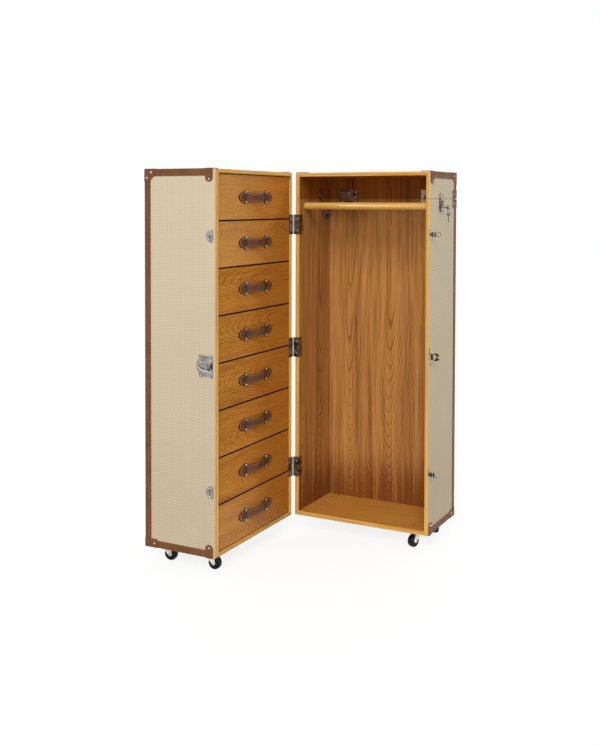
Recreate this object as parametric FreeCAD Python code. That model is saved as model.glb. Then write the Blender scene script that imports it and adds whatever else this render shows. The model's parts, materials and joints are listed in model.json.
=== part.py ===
import FreeCAD, Part
import math
import os
from FreeCAD import Placement, Rotation, Vector

# A wardrobe trunk that stands on end and opens like a book, on six swivel casters.
# One half is a wardrobe with a hanging rail and a lid over its top, and the other holds
# eight drawers. Both are board cases, lipped in oak at the open face, covered in cloth,
# and edged in leather.
#
# Each half is drawn in its own case frame: u runs across the half from the hinged side,
# d runs into it from the open face, and h runs up from the underside of the case.
# The halves are then set at a right angle about the trunk hinges' pin.
# Lengths are in millimetres.

# Case halves
case_width = 576.0
case_depth = 306.0
case_height = 1400.0
board = 14.0
cover = 1.0
lid_height = 104.0
seam_gap = 1.0

# Oak lipping, with a tongue on the drawer half and a rebate for it on the wardrobe half
lipping_depth = 8.0
tongue_inset = 8.8
tongue_width = 5.6
tongue_entry = 2.0
tongue_clearance = 0.6

# Trunk hinges
pin_offset = 10.0
leaf = 1.2
leaf_clearance = 0.2
trunk_hinge_height = 80.0
trunk_hinge_low = 199.0
trunk_hinge_middle = 690.0
trunk_hinge_drop = 105.0
trunk_hinge_leg = 28.0
trunk_pin_radius = 2.0
trunk_barrel_radius = 3.6
trunk_knuckles = 3

# Lid hinges
lid_hinge_width = 83.0
lid_hinge_inset = 62.0
lid_hinge_leg = 38.0
lid_pin_offset = 3.8
lid_pin_radius = 1.6
lid_barrel_radius = 3.0
lid_knuckles = 3

# Running clearances
pin_clearance = 0.05
knuckle_clearance = 0.3
notch_clearance = 0.3
arm_clearance = 0.3

# Hanging rail
rail_radius = 15.0
rail_drop = 30.0
rail_depth = 55.0
rail_bevel = 3.0

# Leather edging, corner caps, tabs and clips
leather = 1.6
thick_leather = 2.8
edging_width = 25.0
edging_underside = 15.0
top_cap_leg = 45.0
top_cap_waist = 24.0
bottom_cap_leg = 53.0
bottom_cap_height = 30.0
tab_width = 32.0
tab_inset = 10.0
tab_length = 46.0
tab_underside = 28.0
clip_length = 41.0
clip_height = 33.0
clip_gap = 2.0
edging_joint_height = 697.0
edging_joint_gap = 1.0

# Drawers
drawer_count = 8
drawer_gap = 3.0
drawer_recess = 3.0
drawer_side_clearance = 2.0
drawer_back_clearance = 8.0
drawer_front = 14.0
drawer_board = 10.0
drawer_bottom = 5.0
drawer_groove = 4.0
drawer_bottom_rise = 8.0
drawer_side_height = 120.0
drawer_side_rise = 10.0
runner_height = 12.0
runner_reach = 7.0
runner_clearance = 0.3
runner_setback = 4.0

# Leather drawer pulls
pull_length = 250.0
pull_height = 41.0
pull_waist = 32.0
pull_strap = 3.5
pull_rise = 18.0
keeper_spacing = 152.0
keeper_width = 13.0
keeper_height = 53.0
keeper_leather = 2.0

# Catches, hasp and lock on the outer ends
catch_low = 238.0
catch_drop = 137.0
hasp_height = 692.0
catch_plate = 1.5
catch_plate_height = 44.0
catch_plate_length = 20.0
catch_pivot_depth = 6.0
catch_pivot_rise = 4.6
catch_pin_radius = 1.5
catch_barrel_radius = 2.8
catch_barrel_height = 12.0
catch_wing_dip = 3.0
ear = 2.0
shank_width = 8.0
ring_radius = 10.0
ring_hole_radius = 7.0
ring_plate = 2.0
strike_front = 8.0
strike_back = 38.0
strike_post_radius = 4.0
strike_post_rise = 7.0
hasp_plate_height = 75.0
hasp_plate_length = 28.0
hasp_pivot_rise = 9.0
hasp_neck = 7.0
hasp_reach = 32.0
hasp_jaw_height = 30.0
hasp_metal = 3.0
hasp_pin_radius = 2.0
hasp_barrel_radius = 3.5
hasp_barrel_height = 22.0
hasp_post = 3.0
hasp_post_height = 12.0
receiver_front = 10.0
receiver_back = 80.0
receiver_height = 85.0
receiver_plate = 2.0
receiver_ridge = 3.5
receiver_rim = 5.0
receiver_lobe = 6.5
receiver_slot_depth = 15.0
receiver_slot_width = 9.0
receiver_slot_height = 18.0
lock_depth = 122.0
lock_width = 32.0
lock_height = 50.0
lock_thickness = 8.0
lock_catch_height = 22.0
lock_catch_thickness = 6.0
lock_tongue_thickness = 2.0
lock_tongue_width = 19.0
lock_tongue_drop = 12.0
lock_tongue_clearance = 1.2
key_drop = 34.0
key_shaft_radius = 2.0
key_length = 16.0
key_bow_radius = 8.0
key_plate = 2.0
key_hole_radius = 3.2
key_ring_radius = 10.0
key_ring_wire = 1.6
key_slack = 0.3

# Lid stay: two flat arms that fold beside the hinged side board, from pivots in from the
# back and above or below the lid seam
stay_lid_inset = 116.0
stay_lid_rise = 18.0
stay_case_inset = 34.0
stay_case_drop = 56.0
stay_upper_length = 120.0
stay_lower_length = 61.0
stay_arm = 2.5
stay_arm_width = 11.0
stay_pin_radius = 2.5
stay_rivet_radius = 4.0
stay_rivet_height = 1.5
stay_head_radius = 5.0
stay_knob_radius = 6.5
stay_head_height = 2.0
stay_standoff = 3.5
stay_bracket_width = 16.0
stay_bracket_length = 34.0

# Casters
caster_height = 66.0
caster_outer_inset = 68.0
caster_hinge_inset = 60.0
caster_front_inset = 64.0
caster_back_inset = 46.0
caster_turns = {
    "wardrobe": {"outer_front": -20.0, "outer_back": 35.0, "hinge_back": 140.0},
    "drawer_case": {"outer_front": 0.0, "outer_back": -8.0, "hinge_back": 70.0},
}
wheel_radius = 25.0
wheel_width = 20.0
caster_trail = 20.0
axle_radius = 3.0
axle_boss = 8.0
boss_start = -30.0
boss_sweep = 170.0
boss_sides = 4
nut_radius = 6.0
nut_height = 3.0
fork_metal = 2.0
fork_clearance = 1.0
crown_front = 19.5
crown_back = 17.0
crown_clearance = 4.0
race_gap = 0.5
race_radius = 25.0
caster_plate_size = 56.0
caster_plate = 2.5

# Worked out from the sizes above
wall = board + cover
lid_seam = case_height - lid_height
set_back = leaf + leaf_clearance
closing_gap = 2 * set_back
body_top = lid_seam - seam_gap / 2
lid_bottom = lid_seam + seam_gap / 2
inner_width = case_width - 2 * wall
inner_back = case_depth - wall
lid_pivot = (case_depth + lid_pin_offset, lid_seam)
drawer_pitch = (case_height - 2 * wall) / drawer_count
strike_centre = (strike_front + strike_back) / 2
catch_reach = catch_pivot_depth + closing_gap + strike_centre
hasp_post_reach = catch_pivot_depth + closing_gap + receiver_slot_depth
trunk_hinge_heights = (trunk_hinge_low, trunk_hinge_middle, lid_seam - trunk_hinge_drop)
catch_heights = (catch_low, lid_seam - catch_drop)
rail_height = lid_seam - rail_drop
key_height = lid_seam - key_drop
stay_lid_pivot = (case_depth - stay_lid_inset, lid_seam + stay_lid_rise)
stay_case_pivot = (case_depth - stay_case_inset, lid_seam - stay_case_drop)
caster_outer = case_width - caster_outer_inset
caster_back = case_depth - caster_back_inset
caster_spots = {
    "outer_front": (caster_outer, caster_front_inset),
    "outer_back": (caster_outer, caster_back),
    "hinge_back": (caster_hinge_inset, caster_back),
}

ACROSS = Vector(1, 0, 0)
INWARD = Vector(0, 1, 0)
UP = Vector(0, 0, 1)
ORIGIN = Vector(0, 0, 0)


# Drawing helpers

def box(u, d, h):
    """Box between two places across, two places into and two heights of the case."""
    return Part.makeBox(u[1] - u[0], d[1] - d[0], h[1] - h[0], Vector(u[0], d[0], h[0]))


def rod(radius, start, way, length):
    """Round bar from a start point along a direction."""
    return Part.makeCylinder(radius, length, Vector(*start), way)


def outline(start, *steps):
    """Closed flat face: a step of two numbers is a straight side, and one of four is an
    arc through its first point to its second."""
    here = Vector(start[0], start[1], 0)
    first = here
    edges = []
    for step in steps:
        there = Vector(step[-2], step[-1], 0)
        if len(step) == 4:
            edges.append(Part.Arc(here, Vector(step[0], step[1], 0), there).toShape())
        else:
            edges.append(Part.makeLine(here, there))
        here = there
    if here.distanceToPoint(first) > 1e-6:
        edges.append(Part.makeLine(here, first))
    return Part.Face(Part.Wire(edges))


def slab(face, corner, x_way, y_way, push):
    """Solid swept along push from a flat face whose x and y run along two directions."""
    placed = face.copy()
    turn = Rotation(x_way, y_way, x_way.cross(y_way), "ZXY")
    placed.Placement = Placement(Vector(*corner), turn)
    return placed.extrude(push)


def on_arc(centre, radius, degrees):
    """Point of a circle at an angle."""
    angle = math.radians(degrees)
    return (centre[0] + radius * math.cos(angle), centre[1] + radius * math.sin(angle))


def fused(shapes):
    """One solid from shapes that meet."""
    return shapes[0].multiFuse(shapes[1:]).removeSplitter()


def other_side(shape):
    """The same piece on the outer side of its half."""
    return shape.mirror(Vector(case_width / 2, 0, 0), ACROSS)


def both_sides(shapes):
    """Pieces at the hinged side and their mirror images at the outer side."""
    return shapes + [other_side(shape) for shape in shapes]


def band(low, high, floor, top, outer, inner, depth):
    """Mitred members of a frame round the open face between two insets from its edge:
    hinged side, outer side, then floor and top where the case has them."""
    low_outer = low + outer if floor else low
    low_inner = low + inner if floor else low
    high_outer = high - outer if top else high
    high_inner = high - inner if top else high
    push = INWARD * (depth[1] - depth[0])
    corner = (0, depth[0], 0)
    side = outline((outer, low_outer), (inner, low_inner), (inner, high_inner), (outer, high_outer))
    members = both_sides([slab(side, corner, ACROSS, UP, push)])
    far_outer = case_width - outer
    far_inner = case_width - inner
    if floor:
        floor_rail = outline(
            (outer, low_outer), (far_outer, low_outer), (far_inner, low_inner), (inner, low_inner))
        members.append(slab(floor_rail, corner, ACROSS, UP, push))
    if top:
        top_rail = outline(
            (outer, high_outer), (inner, high_inner), (far_inner, high_inner), (far_outer, high_outer))
        members.append(slab(top_rail, corner, ACROSS, UP, push))
    return members


# Cases

def case_boards(low, high, floor, top):
    """Side, back, floor and top boards between two heights, butted to each other."""
    side_low = low + cover if floor else low
    side_high = high - cover if top else high
    inner_low = low + wall if floor else low
    inner_high = high - wall if top else high
    outside = case_depth - cover
    across = (wall, case_width - wall)
    boards = both_sides([box((cover, wall), (lipping_depth, outside), (side_low, side_high))])
    boards.append(box(across, (inner_back, outside), (side_low, side_high)))
    if floor:
        boards.append(box(across, (lipping_depth, inner_back), (side_low, inner_low)))
    if top:
        boards.append(box(across, (lipping_depth, inner_back), (inner_high, side_high)))
    return boards


def cover_skin(low, high, floor, top):
    """Cloth over the outside of a case, from the open face round the back."""
    outside = box((0, case_width), (0, case_depth), (low, high))
    inner_low = low + cover if floor else low - 1
    inner_high = high - cover if top else high + 1
    across = (cover, case_width - cover)
    inside = box(across, (-1, case_depth - cover), (inner_low, inner_high))
    return outside.cut(inside)


def hinge_boxes(margin, across, depth):
    """Boxes round the trunk hinges' places on the lipping."""
    reach = trunk_hinge_height / 2 + margin
    return [box(across, depth, (height - reach, height + reach)) for height in trunk_hinge_heights]


def rebated_lipping(low, high, floor, top):
    """Lipping of the wardrobe half, rebated for the tongue but solid behind the hinges."""
    members = band(low, high, floor, top, cover, wall, (0, lipping_depth))
    rebate_depth = (-1, tongue_entry + tongue_clearance)
    rebates = band(low, high, floor, top, tongue_inset - tongue_clearance, wall, rebate_depth)
    seats = hinge_boxes(0, (0, wall + 1), (-2, lipping_depth))
    rebates[0] = rebates[0].cut(Part.makeCompound(seats))
    return [member.cut(rebate) for member, rebate in zip(members, rebates)]


def tongued_lipping(low, high):
    """Lipping of the drawer half, with the raised tongue cut away at the hinges."""
    members = band(low, high, True, True, cover, wall, (0, lipping_depth))
    rise = closing_gap + tongue_entry
    tongues = band(low, high, True, True, tongue_inset, tongue_inset + tongue_width, (-rise, 0))
    gaps = hinge_boxes(tongue_clearance, (0, wall + 1), (-rise - 1, 0))
    tongues[0] = tongues[0].cut(Part.makeCompound(gaps))
    return [member.fuse(tongue).removeSplitter() for member, tongue in zip(members, tongues)]


# Trunk hinges

def trunk_knuckle(height, index):
    """One knuckle round the pin with the web that joins it to its leaf."""
    length = trunk_hinge_height / trunk_knuckles
    low = height - trunk_hinge_height / 2 + index * length + knuckle_clearance / 2
    span = length - knuckle_clearance
    barrel = rod(trunk_barrel_radius, (-pin_offset, -set_back, low), UP, span)
    web = box((-pin_offset, trunk_leaf_start()), (-leaf, 0), (low, low + span))
    return barrel.fuse(web)


def trunk_leaf_start():
    """Where a leaf begins, clear of the other half's knuckles."""
    return -pin_offset + trunk_barrel_radius + knuckle_clearance


def trunk_leaf(height, knuckles):
    """Leaf over the lipping's face that turns in along the side board."""
    section = outline(
        (trunk_leaf_start(), -leaf), (wall + leaf / 2, -leaf), (wall + leaf, -leaf / 2),
        (wall + leaf, trunk_hinge_leg), (wall, trunk_hinge_leg), (wall, 0), (trunk_leaf_start(), 0))
    low = height - trunk_hinge_height / 2
    plate = slab(section, (0, 0, low), ACROSS, INWARD, UP * trunk_hinge_height)
    return fused([plate] + [trunk_knuckle(height, index) for index in knuckles])


def trunk_rod(height, radius, length):
    """Bar on the trunk hinges' axis, centred on a height."""
    return rod(radius, (-pin_offset, -set_back, height - length / 2), UP, length)


def trunk_hinges_fixed():
    """Leaves with the outer and middle knuckles, which hold the pins fast."""
    knuckles = range(0, trunk_knuckles, 2)
    length = trunk_hinge_height - 2 * knuckle_clearance
    leaves = []
    for height in trunk_hinge_heights:
        pin = trunk_rod(height, trunk_pin_radius, length)
        leaves.append(fused([trunk_leaf(height, knuckles), pin]))
    return leaves


def trunk_hinges_moving():
    """Leaves with the knuckles between, bored to turn on the pins."""
    knuckles = range(1, trunk_knuckles, 2)
    bore_radius = trunk_pin_radius + pin_clearance
    leaves = []
    for height in trunk_hinge_heights:
        bore = trunk_rod(height, bore_radius, 2 * trunk_hinge_height)
        leaves.append(trunk_leaf(height, knuckles).cut(bore))
    return leaves


# Lid hinges

def lid_hinge_leaf(knuckles):
    """Lower leaf: through the seam from the pin behind the case, then down the back's
    inner face."""
    top = lid_seam - leaf_clearance / 2
    start = lid_pivot[0] - lid_barrel_radius - knuckle_clearance
    bend = leaf / 2
    section = outline(
        (start, top), (inner_back - bend, top), (inner_back - leaf, top - bend),
        (inner_back - leaf, top - lid_hinge_leg), (inner_back, top - lid_hinge_leg),
        (inner_back, top - leaf), (start, top - leaf))
    plate = slab(section, (lid_hinge_inset, 0, 0), INWARD, UP, ACROSS * lid_hinge_width)
    length = lid_hinge_width / lid_knuckles
    parts = [plate]
    for index in knuckles:
        low = lid_hinge_inset + index * length + knuckle_clearance / 2
        span = length - knuckle_clearance
        parts.append(rod(lid_barrel_radius, (low, *lid_pivot), ACROSS, span))
        parts.append(box((low, low + span), (start, lid_pivot[0]), (top - leaf, top)))
    return fused(parts)


def lid_hinges_lower():
    """Leaves with the end knuckles, which hold the pins fast."""
    start = lid_hinge_inset + knuckle_clearance
    length = lid_hinge_width - 2 * knuckle_clearance
    pin = rod(lid_pin_radius, (start, *lid_pivot), ACROSS, length)
    return both_sides([fused([lid_hinge_leaf(range(0, lid_knuckles, 2)), pin])])


def lid_hinges_upper():
    """Leaves with the middle knuckles, bored to turn on the pins."""
    bore_radius = lid_pin_radius + pin_clearance
    bore = rod(bore_radius, (lid_hinge_inset, *lid_pivot), ACROSS, lid_hinge_width)
    upright = lid_hinge_leaf(range(1, lid_knuckles, 2)).mirror(Vector(0, 0, lid_seam), UP)
    return both_sides([upright.cut(bore)])


def lid_hinge_notches():
    """Room in the seam for the lid hinges' leaves."""
    across = (lid_hinge_inset - notch_clearance, lid_hinge_inset + lid_hinge_width + notch_clearance)
    reach = leaf + leaf_clearance
    notch = box(across, (inner_back - 1, case_depth + 1), (lid_seam - reach, lid_seam + reach))
    return Part.makeCompound(both_sides([notch]))


# Leather edging

def leather_angle(corner, legs, thickness, x_way, y_way, run):
    """Leather folded over a case edge: its legs lie along two faces from the corner, and
    the fold between them is flattened."""
    fold = thickness / 2
    section = outline(
        (-thickness, -fold), (-fold, -thickness), (legs[0], -thickness), (legs[0], 0),
        (0, 0), (0, legs[1]), (-thickness, legs[1]))
    return slab(section, corner, x_way, y_way, run)


def cap_block(legs):
    """Folded shell over a corner at the origin, with the case in the positive octant."""
    t = thick_leather
    block = Part.makeBox(legs[0] + t, legs[1] + t, legs[2] + t, Vector(-t, -t, -t))
    folds = [edge for edge in block.Edges if sum(c < 0 for c in edge.CenterOfMass) == 2]
    case = Part.makeBox(legs[0] + 1, legs[1] + 1, legs[2] + 1)
    return block.makeChamfer(t / 2, folds).cut(case)


def top_cap():
    """Corner cap at the top of the back, waisted on each face between its two legs."""
    leg = top_cap_leg
    waist = top_cap_waist
    middle = (leg + waist) / 2 - (leg - waist) * 0.12
    beyond = leg + 1
    trim = outline(
        (leg, waist), (middle, middle, waist, leg), (waist, beyond), (beyond, beyond),
        (beyond, waist))
    reach = thick_leather + 1
    cap = cap_block((leg, leg, leg))
    cap = cap.cut(slab(trim, (-reach, 0, 0), INWARD, UP, ACROSS * reach))
    cap = cap.cut(slab(trim, (0, -reach, 0), ACROSS, UP, INWARD * reach))
    cap = cap.cut(slab(trim, (0, 0, -reach), ACROSS, INWARD, UP * reach))
    half_turn = Rotation(ACROSS, 180)
    cap.Placement = Placement(Vector(0, case_depth, case_height), half_turn)
    return cap


def bottom_cap():
    """Corner cap at the foot of the back: straps round the corner over a small sole."""
    cap = cap_block((bottom_cap_leg, bottom_cap_leg, bottom_cap_height))
    reach = (-thick_leather - 1, 0)
    away = (edging_width, bottom_cap_leg + 1)
    beside = (away, (-thick_leather - 1, bottom_cap_leg + 1))
    behind = ((0, bottom_cap_leg + 1), away)
    for across, depth in (beside, behind):
        cap = cap.cut(box(across, depth, reach).cut(keep_straps()))
    cap = cap.mirror(ORIGIN, INWARD)
    cap.translate(INWARD * case_depth)
    return cap


def keep_straps():
    """Where a bottom cap's straps hang just outside the case's sides."""
    far = bottom_cap_leg + 2
    beside = box((-far, 0), (-far, far), (-far, far))
    behind = box((-far, far), (-far, 0), (-far, far))
    return beside.fuse(behind)


def front_tab(height, x_way, y_way, over):
    """Round-ended tab folded over a front corner of the case; over is its length there."""
    radius = tab_width / 2
    corner = (0, tab_inset, height)
    legs = (over - radius, tab_length - radius)
    fold = leather_angle(corner, legs, thick_leather, x_way, y_way, INWARD * tab_width)
    middle = Vector(0, tab_inset + radius, height)
    side_disc = Part.makeCylinder(radius, thick_leather, middle + y_way * legs[1], x_way * -1)
    over_disc = Part.makeCylinder(radius, thick_leather, middle + x_way * legs[0], y_way * -1)
    return fused([fold, side_disc, over_disc])


def seam_clip(low):
    """Clip over the back edge beside the lid seam."""
    corner = (0, case_depth, low)
    legs = (clip_length, clip_length)
    return leather_angle(corner, legs, thick_leather, ACROSS, INWARD * -1, UP * clip_height)


def upright_edging(low, high):
    corner = (0, case_depth, low)
    legs = (edging_width, edging_width)
    return leather_angle(corner, legs, leather, ACROSS, INWARD * -1, UP * (high - low))


def bottom_edging():
    """Edging, tabs and caps round the underside of a half."""
    front = tab_inset + tab_width
    legs = (edging_underside, edging_width)
    side_run = INWARD * (case_depth - bottom_cap_leg - front)
    side = leather_angle((0, front, 0), legs, leather, ACROSS, UP, side_run)
    back_run = ACROSS * (case_width - 2 * bottom_cap_leg)
    back = leather_angle((bottom_cap_leg, case_depth, 0), legs, leather, INWARD * -1, UP, back_run)
    tab = front_tab(0, ACROSS, UP, tab_underside)
    return both_sides([side, tab, bottom_cap()]) + [back]


def top_edging():
    """Edging, tabs and caps round the top of a half."""
    front = tab_inset + tab_width
    legs = (edging_width, edging_width)
    down = UP * -1
    side_run = INWARD * (case_depth - top_cap_leg - front)
    side = leather_angle((0, front, case_height), legs, leather, ACROSS, down, side_run)
    back_run = ACROSS * (case_width - 2 * top_cap_leg)
    back_corner = (top_cap_leg, case_depth, case_height)
    back = leather_angle(back_corner, legs, leather, INWARD * -1, down, back_run)
    tab = front_tab(case_height, ACROSS, down, tab_length)
    return both_sides([side, tab, top_cap()]) + [back]


def wardrobe_edging():
    clip_low = lid_seam - clip_gap - clip_height
    uprights = [upright_edging(bottom_cap_height, clip_low), seam_clip(clip_low)]
    return bottom_edging() + both_sides(uprights)


def lid_edging():
    clip_low = lid_seam + clip_gap
    uprights = [seam_clip(clip_low), upright_edging(clip_low + clip_height, case_height - top_cap_leg)]
    return top_edging() + both_sides(uprights)


def drawer_case_edging():
    joint_low = edging_joint_height - edging_joint_gap / 2
    joint_high = edging_joint_height + edging_joint_gap / 2
    lower = upright_edging(bottom_cap_height, joint_low)
    upper = upright_edging(joint_high, case_height - top_cap_leg)
    return bottom_edging() + top_edging() + both_sides([lower, upper])


# Hanging rail

def hanging_rail():
    """Turned oak rail from wall to wall, bevelled at its ends."""
    rail = rod(rail_radius, (wall, rail_depth, rail_height), ACROSS, inner_width)
    return rail.makeChamfer(rail_bevel, [edge for edge in rail.Edges if edge.Closed])


# Drawers

def drawer_low(index):
    """Underside of a drawer front, counted from the bottom."""
    return wall + index * drawer_pitch + drawer_gap / 2


def runner_middle(index):
    return drawer_low(index) + drawer_side_rise + drawer_side_height / 2


def drawer_runners():
    """Oak runners on the side boards, behind the hinge leaves."""
    depth = (trunk_hinge_leg + runner_setback, inner_back)
    runners = []
    for index in range(drawer_count):
        middle = runner_middle(index)
        height = (middle - runner_height / 2, middle + runner_height / 2)
        runners += both_sides([box((wall, wall + runner_reach), depth, height)])
    return runners


def drawer_box(index):
    """Drawer front, sides, back and bottom; the sides are grooved outside for the
    runners, and the sides, front and back inside for the bottom."""
    low = drawer_low(index)
    front_depth = (drawer_recess, drawer_recess + drawer_front)
    outer = wall + drawer_side_clearance
    across = (outer, case_width - outer)
    back_end = inner_back - drawer_back_clearance
    side_low = low + drawer_side_rise
    side_span = (side_low, side_low + drawer_side_height)
    front = box(across, front_depth, (low, low + drawer_pitch - drawer_gap))
    side = box((outer, outer + drawer_board), (front_depth[1], back_end), side_span)
    inner = (outer + drawer_board, case_width - outer - drawer_board)
    back = box(inner, (back_end - drawer_board, back_end), side_span)
    bottom_low = side_low + drawer_bottom_rise
    bottom_depth = (front_depth[1] - drawer_groove, back_end - drawer_board + drawer_groove)
    bottom_span = (bottom_low, bottom_low + drawer_bottom)
    bottom = box((inner[0] - drawer_groove, inner[1] + drawer_groove), bottom_depth, bottom_span)
    middle = runner_middle(index)
    half_slot = runner_height / 2 + runner_clearance
    slot_reach = wall + runner_reach + runner_clearance
    slot_span = (middle - half_slot, middle + half_slot)
    slot = box((outer - 1, slot_reach), (front_depth[1], back_end + 1), slot_span)
    side = side.cut(slot).cut(bottom)
    return [front.cut(bottom), back.cut(bottom), bottom] + both_sides([side])


def pull_strap_section():
    """Strap seen from above: flat under its keepers and bowed out between them."""
    end = pull_length / 2
    foot = keeper_spacing / 2 - keeper_width / 2
    t = pull_strap
    rise = pull_rise
    return outline(
        (-end, 0), (-foot, 0), (0, rise, foot, 0), (end, 0), (end, t), (foot - t / 2, t),
        (0, rise + t, -foot + t / 2, t), (-end, t))


def pull_face():
    """Strap seen from the front: round discs at its ends and a waist between them."""
    end = pull_length / 2
    disc = pull_height / 2
    neck = end - disc
    hold = keeper_spacing / 2
    waist = pull_waist / 2
    return outline(
        (-neck, disc), (-end, 0, -neck, -disc), (-hold, -disc), (0, -waist), (hold, -disc),
        (neck, -disc), (end, 0, neck, disc), (hold, disc), (0, waist), (-hold, disc))


def keeper_section():
    """Keeper seen from the side: down on the drawer at its ends, over the strap between."""
    end = keeper_height / 2
    shoulder = pull_height / 2
    t = keeper_leather
    return outline(
        (-end, 0), (-shoulder - t, 0), (-shoulder, pull_strap), (shoulder, pull_strap),
        (shoulder + t, 0), (end, 0), (end, t), (shoulder + t, t), (shoulder, pull_strap + t),
        (-shoulder, pull_strap + t), (-shoulder - t, t), (-end, t))


def keeper_face():
    """Keeper seen from the front: a short strap with its corners cut off."""
    half = keeper_width / 2
    end = keeper_height / 2
    cut = half * 0.6
    return outline(
        (-half, cut - end), (cut - half, -end), (half - cut, -end), (half, cut - end),
        (half, end - cut), (half - cut, end), (cut - half, end), (-half, end - cut))


def pull():
    """Leather pull on the face of a drawer: bowed strap and two keepers across it."""
    outward = INWARD * -1
    deep = pull_rise + 2 * pull_strap
    side = slab(pull_strap_section(), (0, 0, -pull_height / 2), ACROSS, outward, UP * pull_height)
    strap = side.common(slab(pull_face(), (0, -deep, 0), ACROSS, UP, INWARD * deep))
    profile = slab(keeper_section(), (-keeper_width / 2, 0, 0), UP, outward, ACROSS * keeper_width)
    keeper = profile.common(slab(keeper_face(), (0, -deep, 0), ACROSS, UP, INWARD * deep))
    pieces = [strap]
    for place in (-keeper_spacing / 2, keeper_spacing / 2):
        moved = keeper.copy()
        moved.translate(ACROSS * place)
        pieces.append(moved)
    return pieces


def pull_height_of(index):
    return drawer_low(index) + (drawer_pitch - drawer_gap) / 2


# Catches: levers with a ring that drops over a post on the other half

def end_plate(face, height, thickness):
    """Plate on the outer end of a half from a face drawn in depth and height."""
    return slab(face, (case_width, 0, height), INWARD, UP, ACROSS * thickness)


def ears(height, rise, barrel_height, pin_radius):
    """Pair of ears at the front of a plate, with a pin between them."""
    gap = barrel_height / 2 + knuckle_clearance
    reach = pin_radius + ear
    across = (case_width, case_width + rise + reach)
    depth = (catch_pivot_depth - reach, catch_pivot_depth + reach)
    lower = box(across, depth, (height - gap - ear, height - gap))
    upper = box(across, depth, (height + gap, height + gap + ear))
    pin = rod(pin_radius, (case_width + rise, catch_pivot_depth, height - gap), UP, 2 * gap)
    return [lower, upper, pin]


def catch_base(height):
    """Winged plate of a catch, tall at the front and narrow at the back."""
    front = catch_pivot_depth - catch_barrel_radius
    back = front + catch_plate_length
    tall = catch_plate_height / 2
    narrow = catch_barrel_height / 2
    dip = (front + back) / 2
    wing = (tall + narrow) / 2 - catch_wing_dip
    face = outline(
        (front, -tall), (dip, -wing, back, -narrow), (back + narrow / 2, 0, back, narrow),
        (dip, wing, front, tall))
    plate = end_plate(face, height, catch_plate)
    return fused([plate] + ears(height, catch_pivot_rise, catch_barrel_height, catch_pin_radius))


def star_plate(height):
    """Back plate of the hasp, with three points round the rivet at each end."""
    front = catch_pivot_depth - hasp_barrel_radius
    back = front + hasp_plate_length
    middle = (front + back) / 2
    tall = hasp_plate_height / 2
    point = tall * 0.8
    side = middle - front
    neck = (side * 0.44, tall * 0.62)
    shoulder = (side * 0.55, tall * 0.86)
    face = outline(
        (middle, -tall), (middle + shoulder[0], -shoulder[1]), (middle + side * 0.85, -point),
        (middle + neck[0], -neck[1]), (back, 0, middle + neck[0], neck[1]),
        (middle + side * 0.85, point), (middle + shoulder[0], shoulder[1]), (middle, tall),
        (middle - shoulder[0], shoulder[1]), (middle - side * 0.85, point), (middle - neck[0], neck[1]),
        (front, 0, middle - neck[0], -neck[1]), (middle - side * 0.85, -point),
        (middle - shoulder[0], -shoulder[1]))
    plate = end_plate(face, height, catch_plate)
    return fused([plate] + ears(height, hasp_pivot_rise, hasp_barrel_height, hasp_pin_radius))


def latch_plates():
    return [catch_base(height) for height in catch_heights] + [star_plate(hasp_height)]


def catch_lever(height):
    """Lever that stands out from its pivot: barrel, shank and ring."""
    pivot = (case_width + catch_pivot_rise, catch_pivot_depth)
    half = catch_barrel_height / 2
    barrel = rod(catch_barrel_radius, (*pivot, height - half), UP, catch_barrel_height)
    plate_depth = (pivot[1] - ring_plate / 2, pivot[1] + ring_plate / 2)
    shank_end = pivot[0] + catch_reach - (ring_radius + ring_hole_radius) / 2
    shank = box((pivot[0], shank_end), plate_depth, (height - shank_width / 2, height + shank_width / 2))
    centre = (pivot[0] + catch_reach, plate_depth[0], height)
    ring = rod(ring_radius, centre, INWARD, ring_plate)
    hole = rod(ring_hole_radius, centre, INWARD, ring_plate)
    bore = rod(catch_pin_radius + pin_clearance, (*pivot, height - half), UP, catch_barrel_height)
    return fused([barrel, shank, ring]).cut(hole).cut(bore)


def hasp_claw():
    """Hasp that stands out from its pivot: two curved jaws round an eye, with a post on
    the side that meets the receiver's slot when it is swung over."""
    pivot = (case_width + hasp_pivot_rise, catch_pivot_depth)
    half = hasp_jaw_height / 2
    barrel_half = hasp_barrel_height / 2
    reach = hasp_reach
    tip = half * 0.45
    gap = half * 0.28
    throat = reach * 0.72
    neck = hasp_neck
    outer = outline(
        (0, -barrel_half), (neck, -barrel_half), (reach * 0.55, -half, reach, -tip),
        (reach, -gap), (throat, -gap), (throat, gap), (reach, gap), (reach, tip),
        (reach * 0.55, half, neck, barrel_half), (0, barrel_half))
    eye_start = hasp_barrel_radius * 2
    eye = outline(
        (eye_start, -half * 0.42), (reach * 0.4, -half * 0.62, reach * 0.6, 0),
        (reach * 0.4, half * 0.62, eye_start, half * 0.42))
    lift = hasp_metal / 2
    corner = (pivot[0], pivot[1] - lift, hasp_height)
    claw = slab(outer, corner, ACROSS, UP, INWARD * hasp_metal)
    claw = claw.cut(slab(eye, corner, ACROSS, UP, INWARD * hasp_metal))
    barrel = rod(hasp_barrel_radius, (*pivot, hasp_height - barrel_half), UP, hasp_barrel_height)
    post_start = pivot[0] + hasp_post_reach - hasp_post / 2
    post_end = pivot[1] - hasp_pivot_rise + receiver_plate / 2
    post_span = (hasp_height - hasp_post_height / 2, hasp_height + hasp_post_height / 2)
    post = box((post_start, post_start + hasp_post), (post_end, pivot[1]), post_span)
    bore = rod(hasp_pin_radius + pin_clearance, (*pivot, hasp_height - half), UP, hasp_jaw_height)
    return fused([claw, barrel, post]).cut(bore)


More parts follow.
